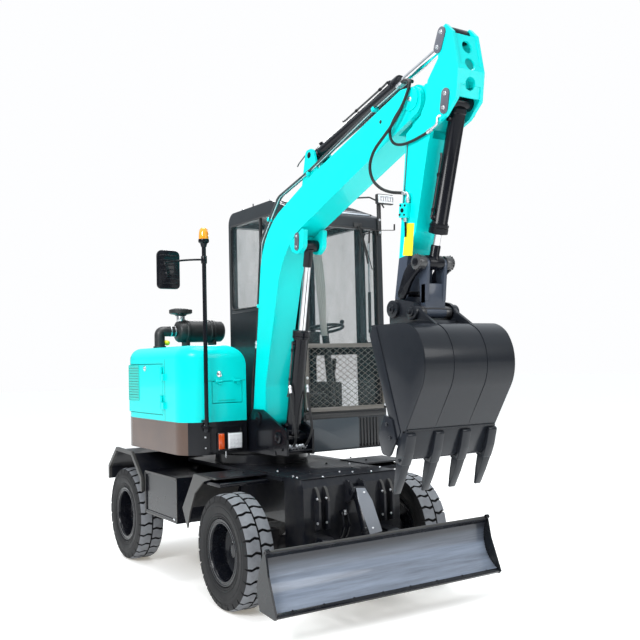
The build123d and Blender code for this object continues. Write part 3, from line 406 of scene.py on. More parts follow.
def metalMaterial(name, colour, rough, wear, stretch, spotColour):
    mat, tree, shader = newMaterial(name, Metallic=1.0)
    spots = groupNode(tree, wearAndSheenSpots, objectPoint(tree, stretch), Scale=wear, Low=0.45, High=0.75)
    tint = addNode(tree, "Mix", {"data_type": "RGBA"}, i6=(*colour, 1), i7=(*spotColour, 1))
    tree.links.new(spots.outputs["Mask"], tint.inputs[0])
    tree.links.new(tint.outputs[2], shader.inputs["Base Color"])
    matt = addNode(tree, "MapRange", i3=rough, i4=rough + 0.18)
    tree.links.new(spots.outputs["Mask"], matt.inputs[0])
    tree.links.new(matt.outputs[0], shader.inputs["Roughness"])
    return mat


finish["chrome"] = metalMaterial("chrome", (0.82, 0.82, 0.83), 0.12, 30, (1, 1, 0.1), (0.6, 0.6, 0.62))
finish["zinc"] = metalMaterial("zinc", (0.72, 0.73, 0.75), 0.28, 60, (1, 1, 1), (0.45, 0.46, 0.48))


def rubberMaterial(name, colour, dust, dusty, rough):
    mat, tree, shader = newMaterial(name, Specular_IOR_Level=0.2)
    point = objectPoint(tree)
    spots = groupNode(tree, wearAndSheenSpots, point, Scale=9.0, Low=0.35, High=0.75)
    tint = addNode(tree, "Mix", {"data_type": "RGBA"}, i6=(*colour, 1), i7=(*dust, 1))
    share = addNode(tree, "Math", {"operation": "MULTIPLY"}, i1=dusty)
    tree.links.new(spots.outputs["Mask"], share.inputs[0])
    tree.links.new(share.outputs[0], tint.inputs[0])
    tree.links.new(tint.outputs[2], shader.inputs["Base Color"])
    matt = addNode(tree, "MapRange", i3=rough, i4=rough + 0.2)
    tree.links.new(spots.outputs["Mask"], matt.inputs[0])
    tree.links.new(matt.outputs[0], shader.inputs["Roughness"])
    grain = addNode(tree, "TexNoise", Scale=420.0)
    tree.links.new(point, grain.inputs["Vector"])
    bumpFrom(tree, grain.outputs[0], shader, 0.25, 0.0006)
    return mat


finish["tyreRubber"] = rubberMaterial("tyreRubber", (0.006, 0.006, 0.007), (0.03, 0.03, 0.03), 0.4, 0.5)
# paler grey of the lug tops
finish["treadPale"] = rubberMaterial("treadPale", (0.20, 0.21, 0.225), (0.11, 0.11, 0.12), 0.8, 0.62)
finish["hoseRubber"] = rubberMaterial("hoseRubber", (0.012, 0.012, 0.013), (0.06, 0.06, 0.06), 0.4, 0.42)


def glassMaterial(name, colour, alpha, rough=0.03):
    mat, tree, shader = newMaterial(name, Roughness=rough, IOR=1.45, Coat_Weight=1.0, Coat_Roughness=0.02)
    smear = groupNode(tree, wearAndSheenSpots, objectPoint(tree, (1, 1, 0.35)), Scale=3.0, Low=0.3, High=0.8)
    tint = addNode(tree, "Mix", {"data_type": "RGBA"}, i6=(*colour, 1),
                   i7=(*[min(1, 0.8 * c + 0.10) for c in colour], 1))
    part = addNode(tree, "Math", {"operation": "MULTIPLY"}, i1=0.35)
    tree.links.new(smear.outputs["Mask"], part.inputs[0])
    tree.links.new(part.outputs[0], tint.inputs[0])
    tree.links.new(tint.outputs[2], shader.inputs["Base Color"])
    veil = addNode(tree, "MapRange", i3=alpha, i4=min(1, alpha + 0.12))
    tree.links.new(smear.outputs["Mask"], veil.inputs[0])
    tree.links.new(veil.outputs[0], shader.inputs["Alpha"])
    return mat


finish["cabGlass"] = glassMaterial("cabGlass", (0.04, 0.085, 0.095), 0.13)
finish["lampLens"] = glassMaterial("lampLens", (0.92, 0.93, 0.95), 0.9, 0.12)
finish["mirrorGlass"] = glassMaterial("mirrorGlass", (0.16, 0.17, 0.19), 1.0, 0.06)
print("materials ready:", len(finish))

nodeFinish = {
    "boom": "tealPaint", "arm": "armPaint", "mudguards": "mudguardPaint", "chassis_frame": "deckPaint",
              "hood": "tealPaint", "side_door": "tealPaint",
    "front_lid": "tealPaint", "cab_glass": "cabGlass", "door_glass": "cabGlass",
    "operator_seat": "vinylBlack", "controls": "plasticBlack", "air_cleaner": "plasticBlack",
    "boom_rod": "chrome", "arm_rod": "chrome", "bucket_rod": "chrome", "blade_rod": "chrome",
    "counterweight": "counterweightPaint", "engine": "castBlack", "front_axle": "castBlack",
    "rear_axle": "castBlack", "knuckle_left": "castBlack", "knuckle_right": "castBlack",
    "guard": "guardPaint", "blade": "bladePaint", "bucket": "bucketPaint", "cab": "greyPaint",
    "lamps": "lampLens", "coupler": "bucketPaint",
}


def dressNodes():
    for name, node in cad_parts.items():
        node.data.materials.clear()
        node.data.materials.append(finish[nodeFinish.get(name, "blackPaint")])


dressNodes()


# Helpers for new pieces. Each adds a shape to a growing mesh, with the piece's finish number
def absorb(target, part, kind=None):
    if kind is not None:
        for face in part.faces:
            face.material_index = kind
    data = bpy.data.meshes.new("part")
    part.to_mesh(data)
    part.free()
    target.from_mesh(data)
    bpy.data.meshes.remove(data)


def roundEdges(mesh, amount, segments=2, above=35):
    sharp = [e for e in mesh.edges if len(e.link_faces) == 2 and e.calc_face_angle(0) > radians(above)]
    if amount and sharp:
        bmesh.ops.bevel(mesh, geom=sharp, offset=amount, offset_type="OFFSET", affect="EDGES",
                        segments=segments, profile=0.5, material=-1, clamp_overlap=True)


def aim(mesh, spot, axis):
    turn = Vector(axis).to_track_quat("Z", "Y").to_matrix().to_4x4()
    bmesh.ops.transform(mesh, matrix=Matrix.Translation(spot) @ turn, verts=mesh.verts)


def addBox(target, x, y, z, kind=0, edge=0.003, segments=2):
    mesh = bmesh.new()
    bmesh.ops.create_cube(mesh, size=1)
    bmesh.ops.scale(mesh, vec=(x[1] - x[0], y[1] - y[0], z[1] - z[0]), verts=mesh.verts)
    roundEdges(mesh, edge, segments)
    bmesh.ops.translate(mesh, vec=[(a + b) / 2 for a, b in (x, y, z)], verts=mesh.verts)
    absorb(target, mesh, kind)


def outlineSpot(across, a, b, level):
    return Vector({"x": (level, a, b), "y": (a, level, b), "z": (a, b, level)}[across])


def roundedFace(mesh, outline, level, across):
    # outline: points in the plane across an axis, each with the radius of its corner if it has one
    corners = [outlineSpot(across, p[0], p[1], level) for p in outline]
    verts = [mesh.verts.new(c) for c in corners]
    mesh.faces.new(verts)
    for i, point in enumerate(outline):
        if len(point) > 2:
            back = corners[i - 1] - corners[i]
            on = corners[(i + 1) % len(corners)] - corners[i]
            bmesh.ops.bevel(mesh, geom=[verts[i]], offset=point[2] / tan(back.angle(on) / 2),
                            offset_type="OFFSET", affect="VERTICES", segments=4 if point[2] < 0.06 else 9,
                            profile=0.5, material=-1, clamp_overlap=False)
    return verts


def thicken(mesh, across, amount):
    made = bmesh.ops.extrude_face_region(mesh, geom=mesh.faces[:])["geom"]
    moved = [v for v in made if isinstance(v, bmesh.types.BMVert)]
    bmesh.ops.translate(mesh, vec=outlineSpot(across, 0, 0, amount), verts=moved)
    bmesh.ops.recalc_face_normals(mesh, faces=mesh.faces)


def addPlate(target, outline, span, kind=0, across="y", edge=0.002):
    mesh = bmesh.new()
    roundedFace(mesh, outline, span[0], across)
    thicken(mesh, across, span[1] - span[0])
    roundEdges(mesh, edge)
    absorb(target, mesh, kind)


def addSheet(target, outline, span, thickness, kind=0, across="y", edge=0.0):
    # a bent plate whose section is an open line, thickened to one side
    mesh = bmesh.new()
    verts = roundedFace(mesh, outline, span[0], across)
    closing = mesh.edges.get((verts[-1], verts[0]))
    bmesh.ops.delete(mesh, geom=mesh.faces[:], context="FACES_ONLY")
    bmesh.ops.delete(mesh, geom=[closing], context="EDGES")
    made = bmesh.ops.extrude_edge_only(mesh, edges=mesh.edges[:])["geom"]
    moved = [v for v in made if isinstance(v, bmesh.types.BMVert)]
    bmesh.ops.translate(mesh, vec=outlineSpot(across, 0, 0, span[1] - span[0]), verts=moved)
    bmesh.ops.solidify(mesh, geom=mesh.faces[:], thickness=thickness)
    bmesh.ops.recalc_face_normals(mesh, faces=mesh.faces)
    roundEdges(mesh, edge)
    absorb(target, mesh, kind)


def addRod(target, start, end, radius, kind=0, sides=24, edge=0.0, tip=None):
    run = Vector(end) - Vector(start)
    mesh = bmesh.new()
    bmesh.ops.create_cone(mesh, cap_ends=True, segments=sides, radius1=radius,
                          radius2=radius if tip is None else tip, depth=run.length)
    roundEdges(mesh, edge, above=50)
    aim(mesh, (Vector(start) + Vector(end)) / 2, run)
    absorb(target, mesh, kind)


def addTurned(target, profile, spot, axis, kind=0, steps=48):
    # profile: (radius, distance along the axis) points
    mesh = bmesh.new()
    verts = [mesh.verts.new((r, 0, a)) for r, a in profile]
    edges = [mesh.edges.new(pair) for pair in zip(verts, verts[1:])]
    bmesh.ops.spin(mesh, geom=verts + edges, cent=(0, 0, 0), axis=(0, 0, 1), angle=2 * pi, steps=steps,
                   use_merge=True)
    bmesh.ops.remove_doubles(mesh, verts=mesh.verts, dist=1e-5)
    aim(mesh, spot, axis)
    absorb(target, mesh, kind)


def addPipe(target, route, radius, kind=0, roundness=2):
    data = bpy.data.curves.new("pipe", "CURVE")
    data.dimensions = "3D"
    data.bevel_depth = radius
    data.bevel_resolution = roundness
    data.use_fill_caps = True
    data.resolution_u = 6
    spline = data.splines.new("NURBS")
    spline.points.add(len(route) - 1)
    for point, spot in zip(spline.points, route):
        point.co = (*spot, 1)
    spline.order_u = 3
    spline.use_endpoint_u = True
    holder = bpy.data.objects.new("pipe", data)
    made = bpy.data.meshes.new_from_object(holder)
    mesh = bmesh.new()
    mesh.from_mesh(made)
    absorb(target, mesh, kind)
    bpy.data.objects.remove(holder)
    bpy.data.meshes.remove(made)


def addBolt(target, spot, axis, size, kind=0):
    for sides, radius, low, high in ((16, 0.62 * size, 0, 0.08 * size),
                                     (6, 0.5 * size, 0.08 * size, 0.5 * size)):
        mesh = bmesh.new()
        bmesh.ops.create_cone(mesh, cap_ends=True, segments=sides, radius1=radius, radius2=radius,
                              depth=high - low)
        roundEdges(mesh, 0.05 * size, 1, 50)
        bmesh.ops.translate(mesh, vec=(0, 0, (low + high) / 2), verts=mesh.verts)
        aim(mesh, spot, axis)
        absorb(target, mesh, kind)


def inOrder(*values):
    return tuple(sorted(values))


def finishPiece(name, mesh, kinds, body, replaces=(), smooth=38):
    bmesh.ops.remove_doubles(mesh, verts=mesh.verts, dist=1e-6)
    bmesh.ops.recalc_face_normals(mesh, faces=mesh.faces)
    bmesh.ops.translate(mesh, vec=datum, verts=mesh.verts)
    data = bpy.data.meshes.new(name)
    mesh.to_mesh(data)
    mesh.free()
    for kind in kinds:
        data.materials.append(finish[kind])
    data.shade_smooth()
    data.set_sharp_from_angle(angle=radians(smooth))
    piece = bpy.data.objects.new(name, data)
    bpy.context.scene.collection.objects.link(piece)
    if body:
        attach(piece, body)
    if replaces:
        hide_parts(*replaces)
    return piece


# Wheels: tyres with two rows of bent lugs, deep black rims
wheels = (
    # name, node ending, x of the axle, side
    ("FrontLeft", "front_left", 1.05, 1), ("FrontRight", "front_right", 1.05, -1),
    ("RearLeft", "rear_left", -1.05, 1), ("RearRight", "rear_right", -1.05, -1),
)
tyreShape = {"axleZ": 0.43, "centreY": 0.8125, "lugs": 26, "lugTop": 0.4278, "lugFoot": 0.400,
             "lugLength": 0.090, "shoulderFoot": 0.375, "midline": 0.004, "outside": 0.1165,
             "bends": ((0.040, 0.011), (0.078, -0.007)), "rowShift": 0.5, "edge": 0.0025}
tyreSection = [(0.2155, -0.086), (0.2155, 0.086), (0.248, 0.088), (0.254, 0.106), (0.262, 0.112),
               (0.270, 0.109), (0.276, 0.113), (0.284, 0.1135), (0.288, 0.110), (0.300, 0.1145),
               (0.335, 0.1172), (0.339, 0.1172), (0.342, 0.1150), (0.352, 0.1165), (0.378, 0.1130),
               (0.398, 0.1040), (0.408, 0.0920)]


def lugRow(v, flip):
    row = bmesh.new()
    bmesh.ops.create_cube(row, size=1)
    low, high = v["midline"], v["outside"]
    bmesh.ops.scale(row, vec=(v["lugTop"] - v["lugFoot"], v["lugLength"], high - low), verts=row.verts)
    bmesh.ops.translate(row, vec=((v["lugTop"] + v["lugFoot"]) / 2, 0, (high + low) / 2), verts=row.verts)
    across = [e for e in row.edges if abs(e.verts[0].co.z - e.verts[1].co.z) > 0.01]
    bmesh.ops.subdivide_edges(row, edges=across, cuts=2, use_grid_fill=True)
    levels = sorted({round(vert.co.z, 4) for vert in row.verts})
    for vert in row.verts:
        step = levels.index(round(vert.co.z, 4))
        outer = vert.co.x > v["lugFoot"] + 0.01
        if 0 < step < 3:
            vert.co.z, bend = v["bends"][step - 1]
            vert.co.y += bend
        if outer:
            vert.co.y *= 0.95
        if step == 3:
            vert.co.x = v["lugTop"] - 0.012 if outer else v["shoulderFoot"]
            vert.co.z -= 0.006 if outer else 0.0
    bmesh.ops.recalc_face_normals(row, faces=row.faces)
    for face in row.faces:
        # lug tops take the paler tread finish
        face.material_index = 1 if face.normal.x > 0.7 else 0
    roundEdges(row, v["edge"], 1, 40)
    if flip:
        bmesh.ops.scale(row, vec=(1, 1, -1), verts=row.verts)
    step = 2 * pi / v["lugs"]
    bmesh.ops.rotate(row, cent=(0, 0, 0), verts=row.verts,
                     matrix=Matrix.Rotation(step * v["rowShift"] * flip, 3, "Z"))
    bmesh.ops.spin(row, geom=row.verts[:] + row.edges[:] + row.faces[:], cent=(0, 0, 0), axis=(0, 0, 1),
                   angle=2 * pi - step, steps=v["lugs"] - 1, use_duplicate=True)
    return row


def makeTyre(v, name, node, x, side):
    mesh = bmesh.new()
    spot = (x, side * v["centreY"], v["axleZ"])
    section = tyreSection + [(r, -a) for r, a in reversed(tyreSection[2:])] + [tyreSection[0]]
    addTurned(mesh, section, spot, (0, side, 0), 0, 96)
    for flip in (0, 1):
        row = lugRow(v, flip)
        aim(row, spot, (0, side, 0))
        absorb(mesh, row)
    finishPiece("tyre" + name, mesh, ("tyreRubber", "treadPale"), "wheel_" + node,
                ("tyre_" + node,), 30)


rimShape = {"nuts": 6, "nutRing": 0.084, "nutSize": 0.022, "nutFace": -0.0405, "stud": (0.026, 0.006)}
rimSection = [(0.0, -0.070), (0.122, -0.070), (0.200, -0.066), (0.203, -0.098), (0.240, -0.104),
              (0.249, -0.100),
              (0.247, -0.089), (0.2148, -0.086), (0.2148, 0.0), (0.2148, 0.086), (0.244, 0.089),
              (0.2495, 0.094),
              (0.2495, 0.104), (0.246, 0.1075), (0.240, 0.1075), (0.236, 0.103), (0.226, 0.1025),
              (0.222, 0.106),
              (0.214, 0.106), (0.209, 0.100), (0.205, 0.085), (0.203, 0.020), (0.198, -0.020),
              (0.176, -0.040),
              (0.124, -0.058), (0.116, -0.052), (0.108, -0.0405), (0.066, -0.0405), (0.061, -0.036),
              (0.058, 0.008), (0.050, 0.020), (0.030, 0.024), (0.0, 0.025)]


def makeRim(v, name, node, x, side):
    mesh = bmesh.new()
    spot = Vector((x, side * tyreShape["centreY"], tyreShape["axleZ"]))
    addTurned(mesh, rimSection, spot, (0, side, 0), 0, 72)
    for i in range(v["nuts"]):
        turn = 2 * pi * (i + 0.35) / v["nuts"]
        foot = spot + Vector((v["nutRing"] * cos(turn), side * v["nutFace"], v["nutRing"] * sin(turn)))
        addBolt(mesh, foot, (0, side, 0), v["nutSize"], 1)
        addRod(mesh, foot, foot + Vector((0, side * v["stud"][0], 0)), v["stud"][1], 1, 10)
    finishPiece("rim" + name, mesh, ("blackPaint", "zinc"), "wheel_" + node, ("rim_" + node,))


for wheel in wheels:
    makeTyre(tyreShape, *wheel)
    makeRim(rimShape, *wheel)
print("wheels ready")


# Bucket: side plates proud of a curved shell, ears, lip, teeth in their adapters
bucketShape = {"sides": (-0.510, 0.230), "centre": -0.140, "plate": 0.018, "shell": 0.012, "teeth": 4,
               "toothPitch": 0.2233, "toothWidth": 0.068, "earInner": 0.1355, "earOuter": 0.160,
               "pins": ((2.430, 2.170, 0.058), (2.630, 2.140, 0.052))}
bucketSide = [(2.437, 2.005, 0.03), (2.462, 2.058, 0.03), (2.885, 2.058, 0.17), (3.026, 1.806, 0.28),
              (2.775, 1.405, 0.06), (2.745, 1.300), (2.676, 1.315)]
bucketShell = [(2.452, 2.050), (2.880, 2.050, 0.16), (3.016, 1.806, 0.27), (2.764, 1.402, 0.10),
               (2.700, 1.225)]


def addTooth(mesh, v, y):
    half = v["toothWidth"] / 2
    addPlate(mesh, [(2.742, 1.398, 0.012), (2.802, 1.392, 0.02), (2.768, 1.270, 0.03), (2.732, 1.190, 0.008),
                    (2.662, 1.205, 0.008), (2.684, 1.290, 0.02)], (y - half - 0.002, y + half + 0.002), 0,
             edge=0.006)
    tooth = bmesh.new()
    bmesh.ops.create_cube(tooth, size=1)
    for vert in tooth.verts:
        top = vert.co.z > 0
        vert.co.x *= 0.066 if top else 0.014
        vert.co.y *= 1.9 * half if top else 1.5 * half
        vert.co.z *= 0.225
    uprights = [e for e in tooth.edges if abs(e.verts[0].co.z - e.verts[1].co.z) > 0.1]
    bmesh.ops.subdivide_edges(tooth, edges=uprights, cuts=1, use_grid_fill=True)
    for vert in tooth.verts:
        if abs(vert.co.z) < 0.01:
            vert.co.x *= 1.18
    roundEdges(tooth, 0.004, 2, 30)
    bmesh.ops.rotate(tooth, cent=(0, 0, 0), matrix=Matrix.Rotation(0.36, 3, "Y"), verts=tooth.verts)
    bmesh.ops.translate(tooth, vec=(2.668, y, 1.1145), verts=tooth.verts)
    absorb(mesh, tooth, 0)
    addBolt(mesh, (2.709, y - half - 0.002, 1.222), (0, -1, 0), 0.020, 0)


def makeBucket(v):
    mesh = bmesh.new()
    right, left = v["sides"]
    for side, y in ((-1, right), (1, left)):
        addPlate(mesh, bucketSide, inOrder(y, y - side * v["plate"]), 0, edge=0.003)
        # strip welded along the side's front edge, cutter bolted below it
        addPlate(mesh, [(2.440, 2.000, 0.02), (2.470, 2.052, 0.02), (2.512, 2.052), (2.732, 1.395),
                        (2.676, 1.320)], inOrder(y + side * 0.006, y - side * 0.002), 0, edge=0.002)
        addPlate(mesh, [(2.592, 1.500, 0.01), (2.668, 1.470, 0.01), (2.705, 1.345, 0.01),
                        (2.640, 1.240, 0.03), (2.560, 1.250, 0.03), (2.525, 1.360, 0.03)],
                 inOrder(y + side * 0.004, y + side * 0.020), 0, edge=0.004)
        for spot in ((2.622, 1.440), (2.655, 1.360)):
            addBolt(mesh, (spot[0], y + side * 0.020, spot[1]), (0, side, 0), 0.024, 0)
        # ear with its two pin bosses, and a ridge on round the back from it
        inner, outer = (v["centre"] + side * v[key] for key in ("earInner", "earOuter"))
        addSheet(mesh, [(2.700, 2.057), (2.884, 2.057, 0.170), (3.025, 1.806, 0.28), (2.785, 1.428)],
                 inOrder(inner - 0.007, inner + 0.007), 0.009, 0)
        addPlate(mesh, [(2.372, 2.030), (2.372, 2.185, 0.06), (2.440, 2.238, 0.06), (2.640, 2.200, 0.08),
                        (2.700, 2.140), (2.860, 2.040), (2.820, 2.030)], inOrder(inner, outer), 0,
                 edge=0.003)
        for x, z, radius in v["pins"]:
            addRod(mesh, (x, inner, z), (x, outer + side * 0.022, z), radius, 0, 32, 0.003)
            addRod(mesh, (x, outer, z), (x, outer + side * 0.034, z), 0.030, 0, 24, 0.002)
            addBolt(mesh, (x, outer + side * 0.034, z), (0, side, 0), 0.026, 0)
    addSheet(mesh, bucketShell, (right + 0.004, left - 0.004), v["shell"], 0)
    addPlate(mesh, [(2.782, 1.405), (2.722, 1.235), (2.704, 1.222), (2.694, 1.235), (2.750, 1.405)],
             (right, left), 0, edge=0.002)
    addRod(mesh, (2.784, right + 0.012, 1.408), (2.784, left - 0.012, 1.408), 0.006, 0, 8)
    addRod(mesh, (2.430, v["centre"] - 0.165, 2.170), (2.430, v["centre"] + 0.165, 2.170), 0.032)
    addPlate(mesh, [(2.40, 2.040), (2.42, 2.085), (2.70, 2.085), (2.74, 2.040)],
             (v["centre"] - v["earInner"], v["centre"] + v["earInner"]), 0)
    for i in range(v["teeth"]):
        addTooth(mesh, v, v["centre"] + (i - (v["teeth"] - 1) / 2) * v["toothPitch"])
    finishPiece("bucketDetailed", mesh, ("bucketPaint",), "bucket", ("bucket",))


makeBucket(bucketShape)
print("bucket ready")


# Front guard: flat frame, diamond wires, corner bolts
guardShape = {"x": (0.7505, 0.775), "y": (0.015, 0.860), "z": (1.410, 1.990), "bar": 0.036, "wire": 0.0024,
              "diamond": (0.074, 0.050), "layers": ((1, 0.012), (-1, 0.016)), "bolt": 0.020}


def makeGuard(v):
    mesh = bmesh.new()
    low, high = v["y"]
    bottom, top = v["z"]
    bar = v["bar"]
    for y, z in (((low, high), (bottom, bottom + bar)), ((low, high), (top - bar, top)),
                 ((low, low + bar), (bottom, top)), ((high - bar, high), (bottom, top))):
        addBox(mesh, v["x"], y, z, 0)
    left, right = low + bar * 0.6, high - bar * 0.6
    floor, roof = bottom + bar * 0.6, top - bar * 0.6
    pitch, rise = v["diamond"][0], v["diamond"][1] / v["diamond"][0]
    reach = (roof - floor) / rise
    for lean, depth in v["layers"]:
        for i in range(1, int((right - left + reach) / pitch) + 1):
            start = left + i * pitch - reach
            ends = (max(start, left), min(start + reach, right))
            zs = [floor + (y - start) * rise for y in ends]
            if lean < 0:
                zs = [floor + roof - z for z in zs]
            x = v["x"][0] + depth
            if ends[1] - ends[0] > 0.01:
                addRod(mesh, (x, ends[0], zs[0]), (x, ends[1], zs[1]), v["wire"], 0, 6)
    for y in (low + bar / 2, high - bar / 2):
        for z in (bottom + bar * 0.8, (bottom + top) / 2, top - bar * 0.8):
            addBolt(mesh, (v["x"][1], y, z), (1, 0, 0), v["bolt"], 1)
    finishPiece("guardMesh", mesh, ("guardPaint", "zinc"), "upper", ("guard",))


makeGuard(guardShape)
print("guard ready")

# Air cleaner across the hood's top, with its elbow, silver neck and cap
airCleanerShape = {"x": -0.800, "z": 2.160, "right": -0.480, "neckY": -0.430, "hood": 2.0005, "elbow": 0.050,
                   "elbowY": -0.650, "bands": (-0.380, -0.100), "ribs": 20}
canister = [(0.0, 0.0), (0.070, 0.0), (0.096, 0.012), (0.107, 0.030), (0.107, 0.080), (0.114, 0.087),
            (0.114, 0.102), (0.108, 0.109), (0.106, 0.330), (0.113, 0.336), (0.113, 0.352), (0.106, 0.358),
            (0.104, 0.465), (0.088, 0.484), (0.0, 0.490)]
rainCap = [(0.0, 0.0), (0.050, 0.0), (0.060, 0.012), (0.098, 0.018), (0.110, 0.026), (0.110, 0.058),
           (0.098, 0.066), (0.060, 0.074), (0.0, 0.078)]


def makeAirCleaner(v):
    mesh = bmesh.new()
    x, z = v["x"], v["z"]
    addTurned(mesh, canister, (x, v["right"], z), (0, 1, 0))
    addTurned(mesh, rainCap, (x, v["neckY"], z + 0.150), (0, 0, 1))
    for i in range(v["ribs"]):
        turn = 2 * pi * i / v["ribs"]
        out = Vector((cos(turn), sin(turn), 0))
        foot = Vector((x, v["neckY"], z + 0.176)) + 0.108 * out
        addRod(mesh, foot, foot + Vector((0, 0, 0.034)), 0.004, 0, 8)
    addRod(mesh, (x, v["neckY"], z + 0.095), (x, v["neckY"], z + 0.152), 0.040, 1, 32, 0.003)
    addPipe(mesh, [(x, v["right"] + 0.02, z), (x, v["right"] - 0.07, z), (x, v["elbowY"], z),
                   (x, v["elbowY"], z - 0.08), (x, v["elbowY"], v["hood"])], v["elbow"], 0, 5)
    for y in (v["right"] - 0.018, v["right"] - 0.060):
        addRod(mesh, (x, y - 0.006, z), (x, y + 0.006, z), v["elbow"] + 0.0025, 1, 32, 0.001)
    addRod(mesh, (x, v["elbowY"], v["hood"]), (x, v["elbowY"], v["hood"] + 0.018), v["elbow"] + 0.010, 0, 32,
           0.003)
    for y in v["bands"]:
        addRod(mesh, (x, y - 0.014, z), (x, y + 0.014, z), 0.1115, 0, 48, 0.001)
        addBox(mesh, (x - 0.07, x + 0.07), (y - 0.015, y + 0.015), (v["hood"], z - 0.07), 0)
        addBolt(mesh, (x + 0.045, y, z - 0.1), (1, 0, 0), 0.016, 1)
    addTurned(mesh, [(0.0, 0.0), (0.026, 0.0), (0.028, 0.006), (0.028, 0.020), (0.020, 0.030), (0.0, 0.032)],
              (x + 0.02, v["right"] - 0.10, z - 0.10), (0.3, -0.5, -0.8), 2, 24)
    finishPiece("airCleaner", mesh, ("plasticBlack", "zinc", "yellowLabel"), "upper",
                ("air_cleaner",))


makeAirCleaner(airCleanerShape)


# Pole with the amber beacon and the mirror
poleShape = {"x": 0.345, "y": -0.700, "radius": 0.018, "low": 1.272, "high": 2.835,
             "mirror": ((0.318, 0.344), (-1.118, -0.917), (2.462, 2.783)), "ribs": 7}
beaconBase = [(0.0, -0.03), (0.022, -0.03), (0.030, 0.0), (0.044, 0.010), (0.046, 0.024), (0.044, 0.036),
              (0.0, 0.036)]
beaconLens = [(0.0, 0.030), (0.040, 0.030), (0.041, 0.050), (0.039, 0.090), (0.034, 0.118), (0.022, 0.132),
              (0.0, 0.135)]


def makePole(v):
    mesh = bmesh.new()
    x, y = v["x"], v["y"]
    addRod(mesh, (x, y, v["low"]), (x, y, v["high"]), v["radius"])
    addTurned(mesh, beaconBase, (x, y, v["high"] + 0.02), (0, 0, 1))
    addTurned(mesh, beaconLens, (x, y, v["high"] + 0.02), (0, 0, 1), 1)
    for z in (1.300, 1.350):
        addBox(mesh, (0.280, x), (y - 0.022, y + 0.022), (z, z + 0.020), 0)
        addBolt(mesh, (0.310, y, z + 0.020), (0, 0, 1), 0.016, 2)
    addRod(mesh, (x, y, v["low"] - 0.004), (x, y, v["low"] + 0.05), v["radius"] + 0.006, 0, 24, 0.002)
    # arm and its clamp
    addRod(mesh, (x, y, 2.685), (x, y, 2.750), v["radius"] + 0.007, 0, 24, 0.003)
    addPipe(mesh, [(x, y, 2.718), (x, y - 0.10, 2.716), (x - 0.006, -1.000, 2.690),
                   (x - 0.002, -1.052, 2.684),
                   (x + 0.002, -1.045, 2.640), (x + 0.002, -1.036, 2.570)], 0.0085, 0, 3)
    # housing: a rounded shell, ribs on its back, the glass towards the operator
    (front, back), (outer, inner), (low, high) = v["mirror"]
    face = [(outer, low, 0.035), (inner, low, 0.035), (inner, high, 0.045), (outer, high, 0.045)]
    addPlate(mesh, face, (front, back), 0, "x", 0.009)
    inset = [(outer + 0.012, low + 0.012, 0.026), (inner - 0.012, low + 0.012, 0.026),
             (inner - 0.012, high - 0.012, 0.034), (outer + 0.012, high - 0.012, 0.034)]
    addPlate(mesh, inset, (front - 0.002, front + 0.004), 3, "x", 0.001)
    for i in range(v["ribs"]):
        z = low + 0.045 + i * (high - low - 0.09) / (v["ribs"] - 1)
        addBox(mesh, (back - 0.004, back + 0.005), (outer + 0.022, inner - 0.022), (z - 0.005, z + 0.005), 0,
               0.003)
    addRod(mesh, (back, -1.036, 2.555), (back, -1.036, 2.600), 0.014, 0, 16, 0.003)
    finishPiece("poleMirror", mesh, ("blackPaint", "amberLens", "zinc", "mirrorGlass"), "upper",
                ("beacon_pole",))


makePole(poleShape)


# Lamps: orange and white ones on the hood's front foot, work lamp on the cab's corner
lampShape = {"face": 0.2855, "orange": ((-0.580, -0.512), (1.105, 1.250)),
             "white": ((-0.490, -0.345), (1.105, 1.250)),
             "work": ((0.755, 0.806), (0.802, 0.984), (3.242, 3.334))}


def makeLamps(v):
    mesh = bmesh.new()
    x = v["face"]
    for key, kind in (("orange", 1), ("white", 2)):
        (right, left), (low, high) = v[key]
        addBox(mesh, (x, x + 0.018), (right, left), (low, high), 0, 0.004)
        addBox(mesh, (x + 0.012, x + 0.026), (right + 0.007, left - 0.007), (low + 0.007, high - 0.007),
               kind, 0.006, 3)
        for z in (low + 0.004, high - 0.004):
            addBolt(mesh, (x + 0.017, right + 0.010, z), (1, 0, 0), 0.006, 3)
    (right, left), (low, high) = v["white"]
    for i in range(4):
        for j in range(4):
            spot = (x + 0.025, right + 0.025 + i * 0.032, low + 0.025 + j * 0.032)
            addTurned(mesh, [(0.0, 0.003), (0.008, 0.002), (0.011, 0.0)], spot, (1, 0, 0), 2, 12)
    # work lamp: finned body, lens, foot and the bent bracket down the pillar
    (back, front), (right, left), (low, high) = v["work"]
    addBox(mesh, (back, front - 0.008), (right, left), (low, high), 0, 0.010, 3)
    addBox(mesh, (front - 0.012, front), (right + 0.008, left - 0.008), (low + 0.010, high - 0.010), 2,
           0.004)
    for i in range(6):
        y = right + 0.025 + i * (left - right - 0.05) / 5
        addBox(mesh, (front - 0.004, front + 0.002), (y - 0.014, y + 0.014), (low + 0.020, high - 0.020), 3,
               0.003)
    addBox(mesh, (0.7505, 0.768), (0.820, 0.860), (2.960, 3.245), 0, 0.004)
    addSheet(mesh, [(0.704, 2.880), (0.712, 2.998, 0.02), (0.992, 3.016), (0.994, 3.070)], (0.772, 0.790),
             0.005, 0, "x")
    for z in (2.985, 3.100):
        addBolt(mesh, (0.768, 0.840, z), (1, 0, 0), 0.018, 3)
    finishPiece("lampSet", mesh, ("plasticBlack", "orangeLens", "lampLens", "zinc"), "upper",
                ("lamps",))


makeLamps(lampShape)
print("cleaner, pole and lamps ready")


# Seat: cushions of their own on a plain base
seatShape = {"base": ((-0.330, 0.130), (0.230, 0.650), (1.1405, 1.425)),
             "cushion": ((-0.325, 0.148), (0.204, 0.676)),
             "cushionZ": (1.422, 1.538), "spread": (0.225, 0.655)}


